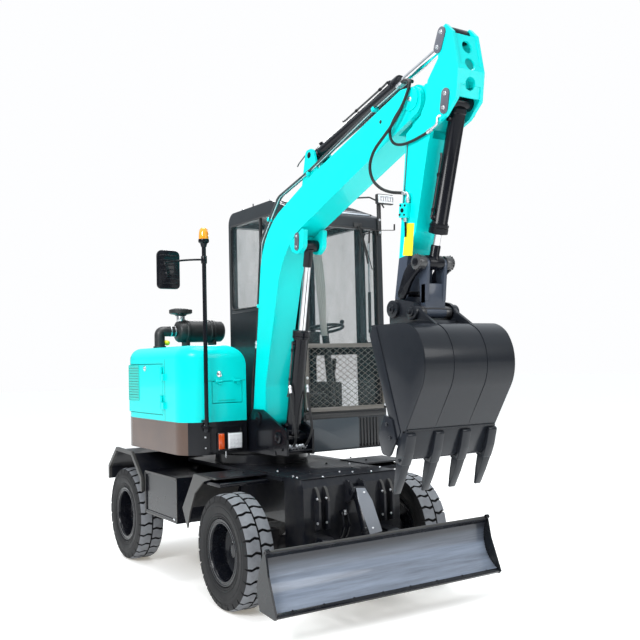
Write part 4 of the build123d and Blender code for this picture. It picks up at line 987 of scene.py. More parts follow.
def makeSeat(v):
    base = bmesh.new()
    addBox(base, *v["base"], 0, 0.012)
    for z in (1.20, 1.26, 1.32, 1.38):
        addBox(base, (v["base"][0][0] + 0.02, v["base"][0][1] + 0.008), v["base"][1], (z - 0.014, z + 0.014),
               0, 0.008)
    finishPiece("seatBase", base, ("plasticBlack",), "upper")
    seat = bmesh.new()
    right, left = v["spread"]
    addBox(seat, v["cushion"][0], v["cushion"][1], v["cushionZ"], 0, 0.045, 5)
    for y in (v["cushion"][1][0] + 0.045, v["cushion"][1][1] - 0.045):
        addBox(seat, (v["cushion"][0][0] + 0.03, v["cushion"][0][1] - 0.03), (y - 0.042, y + 0.042),
               (v["cushionZ"][0] + 0.01, v["cushionZ"][1]), 0, 0.035, 4)
    addPlate(seat, [(-0.326, 1.545, 0.04), (-0.190, 1.545, 0.05), (-0.262, 2.145, 0.05),
                    (-0.378, 2.145, 0.04)],
             (right, left), 0, edge=0.030)
    for y in (right + 0.045, left - 0.045):
        addPlate(seat, [(-0.300, 1.600, 0.03), (-0.182, 1.580, 0.05), (-0.240, 2.060, 0.05),
                        (-0.350, 2.060, 0.03)],
                 (y - 0.040, y + 0.040), 0, edge=0.025)
    cushions = finishPiece("seatCushions", seat, ("vinylBlack",), "upper", ("operator_seat",),
                           60)


makeSeat(seatShape)


# Controls: two consoles with levers, the column with its wheel, two pedals
controlShape = {"floor": 1.1405, "consoles": ((0.092, 0.188), (0.692, 0.778)), "consoleX": (-0.148, 0.198),
                "wheelSpot": (0.430, 0.440, 2.130), "tilt": (-0.2, 0.0, 1.0), "wheelRadius": 0.168,
                "grip": 0.0135}


def makeControls(v):
    mesh = bmesh.new()
    for right, left in v["consoles"]:
        addBox(mesh, v["consoleX"], (right, left), (v["floor"], 1.640), 0, 0.020, 3)
        addTurned(mesh, [(0.034, 0.0), (0.030, 0.02), (0.026, 0.03), (0.022, 0.05), (0.012, 0.08),
                         (0.008, 0.11)],
                  (0.10, (right + left) / 2, 1.636), (0.15, 0, 1), 0, 20)
        addTurned(mesh, [(0.0, 0.09), (0.016, 0.095), (0.020, 0.13), (0.018, 0.17), (0.023, 0.20),
                         (0.020, 0.225),
                         (0.0, 0.235)], (0.10, (right + left) / 2, 1.636), (0.15, 0, 1), 0, 20)
        for i in range(4):
            addBox(mesh, (-0.10 + i * 0.035, -0.08 + i * 0.035),
                   ((right + left) / 2 - 0.02, (right + left) / 2 + 0.02), (1.636, 1.646), 1, 0.002)
    spot, up = Vector(v["wheelSpot"]), Vector(v["tilt"]).normalized()
    addPipe(mesh, [(0.560, 0.440, v["floor"]), (0.552, 0.440, 1.25), (0.480, 0.440, 1.85), spot], 0.032, 0,
            4)
    addTurned(mesh, [(0.060, 0.0), (0.050, 0.02), (0.040, 0.05), (0.0, 0.05)], (0.560, 0.440, v["floor"]),
              (0, 0, 1))
    ring = [(v["wheelRadius"] + v["grip"] * cos(t * pi / 4), v["grip"] * sin(t * pi / 4)) for t in range(9)]
    addTurned(mesh, ring, spot, up, 0, 48)
    addTurned(mesh, [(0.0, -0.012), (0.040, -0.010), (0.044, 0.004), (0.030, 0.016), (0.0, 0.018)], spot, up,
              0, 32)
    side = up.cross(Vector((0, 1, 0))).normalized()
    for turn in (0.5, 2.6, 4.7):
        out = cos(turn) * side + sin(turn) * Vector((0, 1, 0))
        addRod(mesh, spot + 0.03 * out, spot + v["wheelRadius"] * out, 0.010, 0, 12)
    knob = spot + v["wheelRadius"] * (cos(2.0) * side + sin(2.0) * Vector((0, 1, 0)))
    addTurned(mesh, [(0.006, 0.0), (0.008, 0.03), (0.018, 0.035), (0.020, 0.055), (0.012, 0.066),
                     (0.0, 0.068)],
              knob, up, 0, 20)
    for y in (0.30, 0.58):
        addPlate(mesh, [(0.560, v["floor"], 0.004), (0.640, v["floor"] + 0.07, 0.01),
                        (0.632, v["floor"] + 0.08, 0.01),
                        (0.548, v["floor"] + 0.006, 0.004)], (y - 0.045, y + 0.045), 1, edge=0.002)
    finishPiece("controlSet", mesh, ("plasticBlack", "zinc"), "upper", ("controls",))


makeControls(controlShape)
print("seat and controls ready")

# More helpers: bent pipes, stadium plates and the arm's own plane
def bentLine(route):
    # points in order; a fourth number is the radius of the bend at that point
    mesh = bmesh.new()
    verts = [mesh.verts.new(p[:3]) for p in route]
    for pair in zip(verts, verts[1:]):
        mesh.edges.new(pair)
    first = verts[0]
    for i, point in enumerate(route):
        if len(point) > 3:
            back, on = (Vector(route[j][:3]) - Vector(point[:3]) for j in (i - 1, i + 1))
            bmesh.ops.bevel(mesh, geom=[verts[i]], offset=point[3] / tan(back.angle(on) / 2),
                            offset_type="OFFSET",
                            affect="VERTICES", segments=7, profile=0.5, material=-1, clamp_overlap=False)
    line, edge, vert = [first.co.copy()], None, first
    while True:
        ahead = [e for e in vert.link_edges if e != edge]
        if not ahead:
            break
        edge = ahead[0]
        vert = edge.other_vert(vert)
        line.append(vert.co.copy())
    mesh.free()
    return line


def addTube(target, route, radius, kind=0, roundness=2):
    data = bpy.data.curves.new("tube", "CURVE")
    data.dimensions = "3D"
    data.bevel_depth = radius
    data.bevel_resolution = roundness
    data.use_fill_caps = True
    spline = data.splines.new("POLY")
    line = bentLine(route)
    spline.points.add(len(line) - 1)
    for point, place in zip(spline.points, line):
        point.co = (*place, 1)
    holder = bpy.data.objects.new("tube", data)
    made = bpy.data.meshes.new_from_object(holder)
    mesh = bmesh.new()
    mesh.from_mesh(made)
    absorb(target, mesh, kind)
    bpy.data.objects.remove(holder)
    bpy.data.meshes.remove(made)


def addFitting(target, start, end, radius, kind=0):
    # a crimped hose end: sleeve, hexagon and collar
    start, end = Vector(start), Vector(end)
    run = end - start
    for low, high, share, sides in ((0.0, 0.5, 1.0, 20), (0.5, 0.58, 0.8, 20), (0.58, 0.85, 1.15, 6),
                                    (0.85, 1.0, 0.75, 20)):
        addRod(target, start + low * run, start + high * run, share * radius, kind, sides, 0.06 * radius)
    for share in (0.1, 0.22, 0.34):
        addRod(target, start + share * run, start + (share + 0.05) * run, 1.07 * radius, kind, 20)


def stadium(a, b, half):
    # the outline of a plate with round ends between two (x, z) places
    run = (Vector(b) - Vector(a)).normalized()
    side = Vector((-run.y, run.x))
    ends = ((a, -1, 1), (a, -1, -1), (b, 1, -1), (b, 1, 1))
    return [(*(Vector(p) + half * (along * run + across * side)), half * 0.96) for p, along, across in ends]


def addFlag(target, a, b, half, y, side, kinds=(0, 0)):
    # the flag plate that keeps a pin from turning, with its two bolts
    addPlate(target, stadium(a, b, half), inOrder(y, y + side * 0.010), kinds[0], edge=0.003)
    for place in (a, b):
        addBolt(target, (place[0], y + side * 0.010, place[1]), (0, side, 0), half * 0.62, kinds[1])


def planeSpot(place, y):
    return Vector((place[0], y, place[1]))


# Hydraulic cylinders: barrels with end cap, gland and hard pipe, rods with their forged eyes
armCentre = -0.140
cylinders = (
    # name, base pin, rod eye pin, centre, barrel, rod, end of the barrel, half base eye, half rod eye
    ("boom", (0.800, 1.220), (1.130, 2.765), armCentre, 0.062, 0.030, 0.890, 0.110, 0.069),
    ("arm", (1.290, 3.455), (2.920, 3.860), armCentre, 0.050, 0.027, 1.120, 0.061, 0.084),
    ("bucket", (2.940, 3.430), (2.645, 2.460), armCentre, 0.052, 0.025, 0.824, 0.084, 0.060),
    ("blade", (1.525, 0.850), (1.715, 0.385), 0.0, 0.045, 0.022, 0.352, 0.0505, 0.0505),
)
cylinderShape = {"capLength": 0.035, "capExtra": 0.005, "glandLength": 0.062, "glandExtra": 0.011,
                 "start": 0.030,
                 "boreGap": 0.001, "sleeve": {"boom": 0.125, "arm": 0.100, "bucket": 0.070, "blade": 0.035},
                 "sleeveExtra": 0.007, "stroke": {"boom": 0.47, "arm": 0.36, "bucket": 0.42, "blade": 0.14},
                 "pinExtra": 0.024, "baseEye": 0.045, "rodEye": 0.048}


def addAlong(target, profile, a, b, y, kind=0, steps=40):
    direction = planeSpot(b, y) - planeSpot(a, y)
    addTurned(target, profile, planeSpot(a, y), direction, kind, steps)


def makeCylinder(v, name, base, eye, y, outer, rod, end, halfBase, halfEye):
    length = (Vector(eye) - Vector(base)).length
    small = name == "blade"
    bore = rod + v["boreGap"]
    gland = end - v["glandLength"]
    wide, cap = outer + v["glandExtra"] * (0.5 if small else 1), outer + v["capExtra"]
    mesh = bmesh.new()
    section = [(bore, v["start"]), (cap - 0.010, v["start"]), (cap, v["start"] + 0.008),
               (cap, v["start"] + v["capLength"]), (outer, v["start"] + v["capLength"] + 0.006),
               (outer, gland - 0.012),
               (outer + 0.003, gland - 0.008), (outer + 0.003, gland), (wide, gland + 0.002),
               (wide, gland + 0.018),
               (wide - 0.003, gland + 0.020), (wide - 0.003, gland + 0.024), (wide, gland + 0.026),
               (wide, end - 0.004),
               (wide - 0.004, end), (bore + 0.012, end), (bore + 0.010, end + 0.004), (bore, end + 0.004),
               (bore, v["start"])]
    addAlong(mesh, section, base, eye, y)
    addRod(mesh, planeSpot(base, y - halfBase), planeSpot(base, y + halfBase),
           v["baseEye"] if not small else 0.038, 0, 40, 0.004)
    addRod(mesh, planeSpot(base, y - halfBase - v["pinExtra"]),
           planeSpot(base, y + halfBase + v["pinExtra"]), 0.0249, 0, 32, 0.003)
    run = (planeSpot(eye, y) - planeSpot(base, y)).normalized()
    side = Vector((0, -1, 0))
    if name == "arm":
        side = (run.cross(Vector((0, 1, 0))) + 0.4 * side).normalized()  # on top, clear of the boom's pipes
    if not small:
        # ports, and a hard pipe that brings the far one back along the barrel
        out = run.cross(side)
        for place in (v["start"] + 0.075, gland - 0.040):
            foot = planeSpot(base, y) + place * run + outer * 0.8 * side
            addRod(mesh, foot, foot + 0.030 * side, 0.017, 0, 6, 0.002)
        pipe = planeSpot(base, y) + (outer + 0.016) * side + 0.006 * out
        first, last = 0.42 * end, gland - 0.040
        addTube(mesh, [tuple(pipe + last * run - 0.010 * side), (*(pipe + last * run + 0.004 * side), 0.004),
                       (*(pipe + (last - 0.060) * run), 0.02), (*(pipe + first * run), 0.02),
                       tuple(pipe + (first - 0.030) * run + 0.006 * side)], 0.0075, 1, 3)
        for share in (0.55, 0.82):
            spot = pipe + share * end * run
            addRod(mesh, spot - 0.012 * run, spot + 0.012 * run, 0.011, 0, 16, 0.002)
    finishPiece(name + "Barrel", mesh, ("blackPaint", "pipeBlack", "zinc"), name + "_barrel",
                (name + "_barrel",))
    mesh = bmesh.new()
    sleeve = v["sleeve"][name]
    inside = end - v["stroke"][name]
    bright = length - 0.045 - sleeve
    addAlong(mesh, [(0.0, inside), (rod, inside), (rod, bright), (0.0, bright)], base, eye, y, 1)
    thick = rod + v["sleeveExtra"]
    addAlong(mesh, [(0.0, bright - 0.002), (rod + 0.002, bright - 0.002), (thick, bright + 0.006),
                    (thick, length - 0.05),
                    (thick + 0.012, length - 0.028), (0.0, length - 0.028)], base, eye, y, 0)
    radius = v["rodEye"] if not small else 0.034
    addRod(mesh, planeSpot(eye, y - halfEye), planeSpot(eye, y + halfEye), radius, 0, 40, 0.004)
    finishPiece(name + "Rod", mesh, ("blackPaint", "chrome"), name + "_rod", (name + "_rod",))


for cylinder in cylinders:
    makeCylinder(cylinderShape, *cylinder)
print("cylinders ready")


# Pipes along the boom's back: two black ones with a bright one between them, in clamps
boomPipeShape = {"route": ((0.395, 2.020), (0.500, 2.870, 0.110), (0.820, 3.205, 0.140),
                           (1.330, 3.330, 0.300), (2.175, 3.590, 0.300), (2.450, 3.660)),
                 "lines": ((-0.241, 0.0080, 0), (-0.2250, 0.0070, 1), (-0.2105, 0.0068, 0),
                           (-0.041, 0.0080, 0), (-0.058, 0.0075, 0)),
                 "clamps": ((0.4435, 2.325, -1.45), (1.300, 3.305, -0.26), (2.177, 3.580, -0.29),
                            (0.655, 3.045, -0.80)),
                 "spans": ((-0.2515, -0.2030), (-0.0700, -0.0290)), "fitting": 0.055}


def makeBoomPipes(v):
    mesh = bmesh.new()
    for y, radius, kind in v["lines"]:
        addTube(mesh, [(p[0], y, *p[1:]) for p in v["route"]], radius, kind, 3)
        end, before = (planeSpot(p[:2], y) for p in (v["route"][-1], v["route"][-2]))
        run = (end - before).normalized()
        addFitting(mesh, end + v["fitting"] * run, end - 0.008 * run, radius + 0.004, 1)
        end, before = (planeSpot(p[:2], y) for p in (v["route"][0], v["route"][1]))
        run = (end - before).normalized()
        addFitting(mesh, end + v["fitting"] * run, end - 0.008 * run, radius + 0.004, 1)
    for x, z, turn in v["clamps"]:
        for low, high in v["spans"]:
            block = bmesh.new()
            bmesh.ops.create_cube(block, size=1)
            bmesh.ops.scale(block, vec=(0.030, high - low, 0.030), verts=block.verts)
            roundEdges(block, 0.004, 2)
            bmesh.ops.rotate(block, cent=(0, 0, 0), matrix=Matrix.Rotation(turn, 3, "Y"), verts=block.verts)
            bmesh.ops.translate(block, vec=(x, (low + high) / 2, z), verts=block.verts)
            absorb(mesh, block, 2)
            out = Vector((sin(turn), 0, cos(turn)))
            addBolt(mesh, Vector((x, (low + high) / 2, z)) + 0.015 * out, out, 0.014, 1)
    finishPiece("boomPipes", mesh, ("pipeBlack", "zinc", "tealPlain"), "boom", ("boom_lines",))


makeBoomPipes(boomPipeShape)


# Free hoses at the boom's tip: one loops down to the valve block on the arm, one to the bucket cylinder
tipHoses = (
    # name, route, thickness, where the bend starts and ends
    ("armHose", ((2.464, -0.241, 3.664), (2.535, -0.243, 3.688), (2.618, -0.262, 3.640),
                 (2.602, -0.282, 3.560),
                 (2.552, -0.290, 3.480), (2.470, -0.292, 3.405), (2.350, -0.292, 3.335),
                 (2.230, -0.290, 3.270),
                 (2.172, -0.288, 3.175), (2.200, -0.284, 3.070), (2.290, -0.278, 2.995),
                 (2.390, -0.272, 2.955), (2.470, -0.266, 2.938), (2.520, -0.264, 2.928)), 0.021,
     ((2.56, -0.28, 3.50), (2.50, -0.27, 2.95))),
    ("cylinderHose", ((2.464, -0.2105, 3.664), (2.535, -0.214, 3.690), (2.600, -0.245, 3.655),
                      (2.580, -0.262, 3.570),
                      (2.520, -0.270, 3.490), (2.440, -0.274, 3.430), (2.390, -0.274, 3.360),
                      (2.420, -0.272, 3.280),
                      (2.500, -0.268, 3.248), (2.600, -0.266, 3.246), (2.700, -0.264, 3.256),
                      (2.780, -0.262, 3.270)),
     0.019, ((2.45, -0.27, 3.40), (2.74, -0.27, 3.26))),
    ("farHose", ((2.464, -0.041, 3.664), (2.535, -0.034, 3.688), (2.615, -0.012, 3.645),
                 (2.600, 0.004, 3.560),
                 (2.540, 0.012, 3.480), (2.450, 0.014, 3.400), (2.400, 0.014, 3.310), (2.420, 0.012, 3.220),
                 (2.490, 0.006, 3.150), (2.570, -0.004, 3.110), (2.620, -0.010, 3.100)), 0.019,
     ((2.55, 0.01, 3.50), (2.56, 0.0, 3.12))),
)


def splinePath(points):
    data = bpy.data.curves.new("route", "CURVE")
    data.dimensions = "3D"
    spline = data.splines.new("NURBS")
    spline.points.add(len(points) - 1)
    for point, place in zip(spline.points, points):
        point.co = (*place, 1)
    spline.order_u = 3
    spline.use_endpoint_u = True
    data.resolution_u = 12
    holder = bpy.data.objects.new("route", data)
    made = bpy.data.meshes.new_from_object(holder)
    path = [v.co.copy() for v in made.vertices]
    bpy.data.objects.remove(holder)
    bpy.data.meshes.remove(made)
    return path


def makeHose(name, route, thickness, bend):
    mesh = bmesh.new()
    addPipe(mesh, route, thickness / 2, 0, 4)
    path = splinePath(route)
    piece = finishPiece(name, mesh, ("hoseRubber",), None)
    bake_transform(piece)


for hose in tipHoses:
    makeHose(*hose)
print("boom pipes and hoses ready")


# Arm: label, valve block with its elbows, pin flags
armShape = {"right": -0.250, "left": -0.030, "label": ((2.471, 2.522), (2.570, 2.510), (2.600, 2.718),
                                                       (2.515, 2.731)),
            "block": ((2.497, 2.862), (2.572, 2.852), (2.560, 2.758), (2.485, 2.768)),
            "flags": (((2.925, 3.862), (2.886, 3.778), 0.036), ((2.944, 3.470), (2.926, 3.385), 0.036))}


def makeArmTrim(v):
    mesh = bmesh.new()
    for side, face in ((-1, v["right"]), (1, v["left"])):
        for a, b, half in v["flags"]:
            addFlag(mesh, a, b, half, face, side, (3, 2))
        # bosses of the bucket pin and the rocker pin
        for place, radius in (((2.430, 2.170), 0.056), ((2.470, 2.270), 0.044)):
            addRod(mesh, planeSpot(place, face - side * 0.004), planeSpot(place, face + side * 0.002),
                   radius, 5, 32, 0.002)
    y = v["right"]
    addPlate(mesh, [(*p, 0.004) for p in v["label"]], (y - 0.0012, y + 0.0005), 4, edge=0.0)
    addPlate(mesh, [(*p, 0.005) for p in v["block"]], (y - 0.038, y + 0.001), 1, edge=0.003)
    for place in ((2.510, 2.845), (2.556, 2.838), (2.500, 2.785), (2.545, 2.778)):
        addBolt(mesh, (place[0], y - 0.038, place[1]), (0, -1, 0), 0.013, 0)
    addRod(mesh, (2.527, y - 0.045, 2.810), (2.527, y - 0.036, 2.810), 0.014, 0, 20, 0.002)
    # bright elbow from the hose, and the short pipe that goes on down behind the label
    addFitting(mesh, (2.512, -0.264, 2.930), (2.545, -0.266, 2.922), 0.0135, 2)
    addTube(mesh, [(2.540, -0.266, 2.923), (2.572, -0.268, 2.915, 0.022), (2.562, -0.268, 2.862)], 0.0105, 2,
            4)
    addFitting(mesh, (2.5675, -0.268, 2.892), (2.5610, -0.268, 2.855), 0.0125, 2)
    addFitting(mesh, (2.530, -0.266, 2.766), (2.527, -0.266, 2.735), 0.0115, 2)
    addTube(mesh, [(2.528, -0.266, 2.745), (2.522, -0.262, 2.690, 0.02), (2.512, -0.256, 2.640)], 0.0065, 0,
            3)
    # fitting and bent pipe into the bucket cylinder's upper port
    addFitting(mesh, (2.770, -0.262, 3.268), (2.822, -0.262, 3.282), 0.0125, 2)
    addTube(mesh, [(2.812, -0.262, 3.280), (2.862, -0.262, 3.296, 0.025), (2.868, -0.258, 3.345, 0.015),
                   (2.895, -0.235, 3.352)], 0.0085, 2, 4)
    addFitting(mesh, (2.640, -0.012, 3.098), (2.600, -0.008, 3.102), 0.0115, 2)
    addTube(mesh, [(2.640, -0.012, 3.098), (2.700, -0.018, 3.092, 0.03), (2.735, -0.030, 3.110)], 0.0085, 2,
            4)
    # thin grease line down the arm's edge
    addTube(mesh, [(2.560, -0.2545, 3.250), (2.505, -0.2545, 2.900), (2.475, -0.2545, 2.760)], 0.0035, 3, 2)
    finishPiece("armTrim", mesh, ("blackPaint", "tealPlain", "zinc", "flagGrey", "yellowLabel",
                                  "slatePaint"), "arm")


makeArmTrim(armShape)

# Boom: ear flags, foot bosses, wrapped bundle over the tip
boomShape = {"right": -0.250, "left": -0.030, "ear": ((1.133, 2.835), (1.126, 2.752), 0.030)}


def makeBoomTrim(v):
    mesh = bmesh.new()
    for side, face in ((-1, v["right"]), (1, v["left"])):
        a, b, half = v["ear"]
        addFlag(mesh, a, b, half, face, side, (0, 1))
        addRod(mesh, planeSpot((2.605, 3.530), face - side * 0.002),
               planeSpot((2.605, 3.530), face + side * 0.012), 0.075, 2, 40, 0.004)
        addBolt(mesh, (2.605, face + side * 0.012, 3.530), (0, side, 0), 0.026, 1)
        addRod(mesh, planeSpot((2.268, 3.466), face - side * 0.001),
               planeSpot((2.268, 3.466), face + side * 0.002), 0.013, 3, 20, 0.001)
        addRod(mesh, planeSpot((0.450, 1.360), face - side * 0.002),
               planeSpot((0.450, 1.360), face + side * 0.0005), 0.060, 2, 32, 0.0)
    # spiral wrap round the hoses where they leave the pipes
    for y in (-0.239, -0.209, -0.041):
        for i in range(9):
            t = i / 8
            x = 2.500 + 0.085 * t
            z = 3.677 + 0.011 * t - 0.030 * t * t
            addRod(mesh, (x - 0.004, y - 0.012 * t, z), (x + 0.004, y - 0.014 * t, z), 0.0125, 3, 14, 0.002)
    addTube(mesh, [(1.084, -0.205, 3.408), (1.100, -0.200, 3.430, 0.01), (1.250, -0.198, 3.500, 0.03),
                   (1.290, -0.196, 3.500)], 0.005, 3, 2)
    finishPiece("boomTrim", mesh, ("flagGrey", "zinc", "tealPlain", "pipeBlack"), "boom")


makeBoomTrim(boomShape)


# Linkage: curved side links with rough welded bosses on their pin, boxed coupler
def makeRocker():
    mesh = bmesh.new()
    for side in (-1, 1):
        y = inOrder(armCentre + side * 0.111, armCentre + side * 0.133)
        addPlate(mesh, [(2.436, 2.280, 0.030), (2.480, 2.236, 0.034), (2.524, 2.268, 0.05),
                        (2.584, 2.360, 0.20),
                        (2.690, 2.424, 0.04), (2.640, 2.508, 0.04), (2.512, 2.428, 0.16)], y, 0, edge=0.004)
        inner, outer = armCentre + side * 0.084, armCentre + side * 0.148
        addRod(mesh, planeSpot((2.645, 2.460), inner), planeSpot((2.645, 2.460), outer), 0.048, 1, 40, 0.005)
        addRod(mesh, planeSpot((2.645, 2.460), armCentre + side * 0.061), planeSpot((2.645, 2.460), inner),
               0.0249, 0, 24)
        addRod(mesh, planeSpot((2.645, 2.460), outer - side * 0.002),
               planeSpot((2.645, 2.460), outer + side * 0.005), 0.026, 0, 32, 0.002)
        addRod(mesh, planeSpot((2.470, 2.270), armCentre + side * 0.111),
               planeSpot((2.470, 2.270), armCentre + side * 0.1325), 0.038, 0, 32, 0.003)
        for turn in range(14):
            angle = 2 * pi * turn / 14
            spot = planeSpot((2.645 + 0.049 * cos(angle), 2.460 + 0.049 * sin(angle)), outer - side * 0.013)
            addRod(mesh, spot, spot + Vector((0, side * 0.004, 0)), 0.0065, 1, 8, 0.002)
    addRod(mesh, planeSpot((2.470, 2.270), armCentre - 0.130), planeSpot((2.470, 2.270), armCentre + 0.130),
           0.0249, 0, 24)
    finishPiece("rockerLinks", mesh, ("blackPaint", "weldSteel"), "rocker", ("rocker",))


def makeCoupler():
    mesh = bmesh.new()
    addPlate(mesh, [(2.604, 2.165), (2.656, 2.165), (2.664, 2.325), (2.616, 2.325)],
             (armCentre - 0.083, armCentre + 0.083), 0, edge=0.006)
    for side in (-1, 1):
        y = inOrder(armCentre + side * 0.0605, armCentre + side * 0.083)
        addPlate(mesh, [(2.604, 2.200, 0.02), (2.660, 2.200, 0.02), (2.692, 2.470, 0.045),
                        (2.645, 2.507, 0.045), (2.598, 2.470, 0.045)], y, 0, edge=0.003)
        addRod(mesh, planeSpot((2.630, 2.140), armCentre + side * 0.080),
               planeSpot((2.630, 2.140), armCentre + side * 0.131), 0.040, 1, 32, 0.004)
    for i in range(12):
        y = armCentre - 0.112 + i * 0.224 / 11
        addRod(mesh, (2.662, y - 0.010, 2.160), (2.662, y + 0.010, 2.162), 0.007, 1, 8, 0.003)
    addRod(mesh, planeSpot((2.630, 2.140), armCentre - 0.082), planeSpot((2.630, 2.140), armCentre + 0.082),
           0.040, 0, 32)
    finishPiece("couplerBox", mesh, ("slatePaint", "weldSteel"), "coupler", ("coupler",))


makeRocker()
makeCoupler()
print("arm, boom and linkage ready")


# Blade: glossy curved face, top lip, cutting edge with bolts, end plates with a small eye
bladeShape = {"half": 1.000, "arcCentre": (2.0811, 0.4337), "arcStart": (1.8700, 0.5800), "sweep": 106.3,
              "face": 0.002, "lip": 0.010, "eye": (1.874, 0.590, 0.017), "bolts": 8}


def makeBladeTrim(v):
    mesh = bmesh.new()
    half = v["half"] - 0.0145
    skin = bmesh.new()
    start = Vector((v["arcStart"][0], -half, v["arcStart"][1]))
    centre = Vector((v["arcCentre"][0], -half, v["arcCentre"][1]))
    vert = skin.verts.new(start + v["face"] * (centre - start).normalized())
    bmesh.ops.spin(skin, geom=[vert], cent=centre, axis=(0, -1, 0), angle=radians(v["sweep"] - 2), steps=28)
    made = bmesh.ops.extrude_edge_only(skin, edges=skin.edges[:])["geom"]
    bmesh.ops.translate(skin, vec=(0, 2 * half, 0), verts=[g for g in made
                                                           if isinstance(g, bmesh.types.BMVert)])
    bmesh.ops.solidify(skin, geom=skin.faces[:], thickness=0.004)
    bmesh.ops.recalc_face_normals(skin, faces=skin.faces)
    absorb(mesh, skin, 1)
    # lip along the top edge, in the edge grey of a painted highlight, its fold below, and the wear edge at
    # the bottom
    addRod(mesh, (1.8615, -v["half"], 0.584), (1.8615, v["half"], 0.584), v["lip"], 2, 16, 0.002)
    addPlate(mesh, [(1.871, 0.578), (1.8745, 0.570), (1.8590, 0.545), (1.8560, 0.549)], (-half, half), 0,
             edge=0.0)
    addPlate(mesh, [(1.975, 0.2095), (1.9790, 0.2125), (2.0030, 0.1920), (1.9870, 0.1745)],
             (-half, half), 3, edge=0.001)
    for i in range(v["bolts"]):
        y = -half + half / v["bolts"] + i * 2 * half / v["bolts"]
        addRod(mesh, (1.9805, y, 0.2065), (1.9850, y, 0.2110), 0.009, 3, 12, 0.001)
    for side in (-1, 1):
        addRod(mesh, (v["eye"][0], side * v["half"], v["eye"][1]),
               (v["eye"][0], side * (v["half"] - 0.030), v["eye"][1]), v["eye"][2], 0, 24, 0.003)
        # weld beads where the end plate meets the face
        for i in range(24):
            turn = radians(145.3 + i * 106.3 / 23)
            spot = Vector((v["arcCentre"][0] + 0.252 * cos(turn), side * half,
                           v["arcCentre"][1] + 0.252 * sin(turn)))
            addRod(mesh, spot + Vector((0, -0.003, 0)), spot + Vector((0, 0.003, 0)), 0.0055, 0, 8)
        # ribs behind the board
        for y in (side * 0.62, side * 0.88):
            addPlate(mesh, [(1.852, 0.560), (1.806, 0.440), (1.806, 0.330), (1.870, 0.215), (1.825, 0.225),
                            (1.772, 0.320), (1.772, 0.450)], (y - 0.006, y + 0.006), 0, edge=0.002)
        for y in (side * 0.2275, side * 0.3725):
            addBolt(mesh, (1.535, y + (0.016 if y > side * 0.3 else -0.016), 0.475),
                    (0, 1 if y > side * 0.3 else -1, 0), 0.026, 2)
    finishPiece("bladeTrim", mesh, ("blackPaint", "bladeFace", "edgeHighlightGrey", "blackPaint"), "blade")


makeBladeTrim(bladeShape)


# Light-grey cover over the blade's cylinder
def makeCylinderCover():
    mesh = bmesh.new()
    base, eye = Vector((1.525, 0.850)), Vector((1.715, 0.385))
    run = (eye - base).normalized()
    out = Vector((-run.y, run.x))
    cover = bmesh.new()
    outline = [(-0.050, -0.010), (0.030, -0.004), (0.068, 0.100), (0.088, 0.335), (-0.028, 0.345),
               (-0.058, 0.090)]
    face = cover.faces.new([cover.verts.new((a, b, 0)) for a, b in outline])
    bmesh.ops.recalc_face_normals(cover, faces=[face])
    made = bmesh.ops.extrude_face_region(cover, geom=[face])["geom"]
    bmesh.ops.translate(cover, vec=(0, 0, 0.006), verts=[g for g in made
                                                         if isinstance(g, bmesh.types.BMVert)])
    bmesh.ops.recalc_face_normals(cover, faces=cover.faces)
    roundEdges(cover, 0.002, 1)
    turn = Matrix(((0, run.x, out.x, 0), (1, 0, 0, 0), (0, run.y, out.y, 0), (0, 0, 0, 1)))
    spot = planeSpot(base + 0.054 * out, 0)
    bmesh.ops.transform(cover, matrix=Matrix.Translation(spot) @ turn, verts=cover.verts)
    absorb(mesh, cover, 0)
    for place in (0.030, 0.300):
        spot = planeSpot(base + 0.040 * out + place * run, 0.010)
        addRod(mesh, spot, spot + planeSpot(0.018 * out, 0), 0.010, 1, 12)
        addBolt(mesh, spot + planeSpot(0.020 * out, 0), planeSpot(out, 0), 0.014, 1)
    finishPiece("cylinderCover", mesh, ("coverGrey", "zinc"), "blade_barrel")


makeCylinderCover()


# Chassis: deck plates and bolts, bracket edges with a painted highlight, pins, the side boxes' frames,
# mudguard braces
chassisShape = {"deck": 0.960, "deckBolts": ((1.258, -0.410), (1.340, -0.425), (0.908, -0.349),
                                             (1.425, -0.250),
                (1.271, 0.005), (1.341, 0.081), (1.425, 0.200), (1.258, 0.410), (0.908, 0.349)),
                "box": ((-0.575, 0.165), (0.505, 0.885)), "boxFrame": 0.016, "boxY": 0.900}


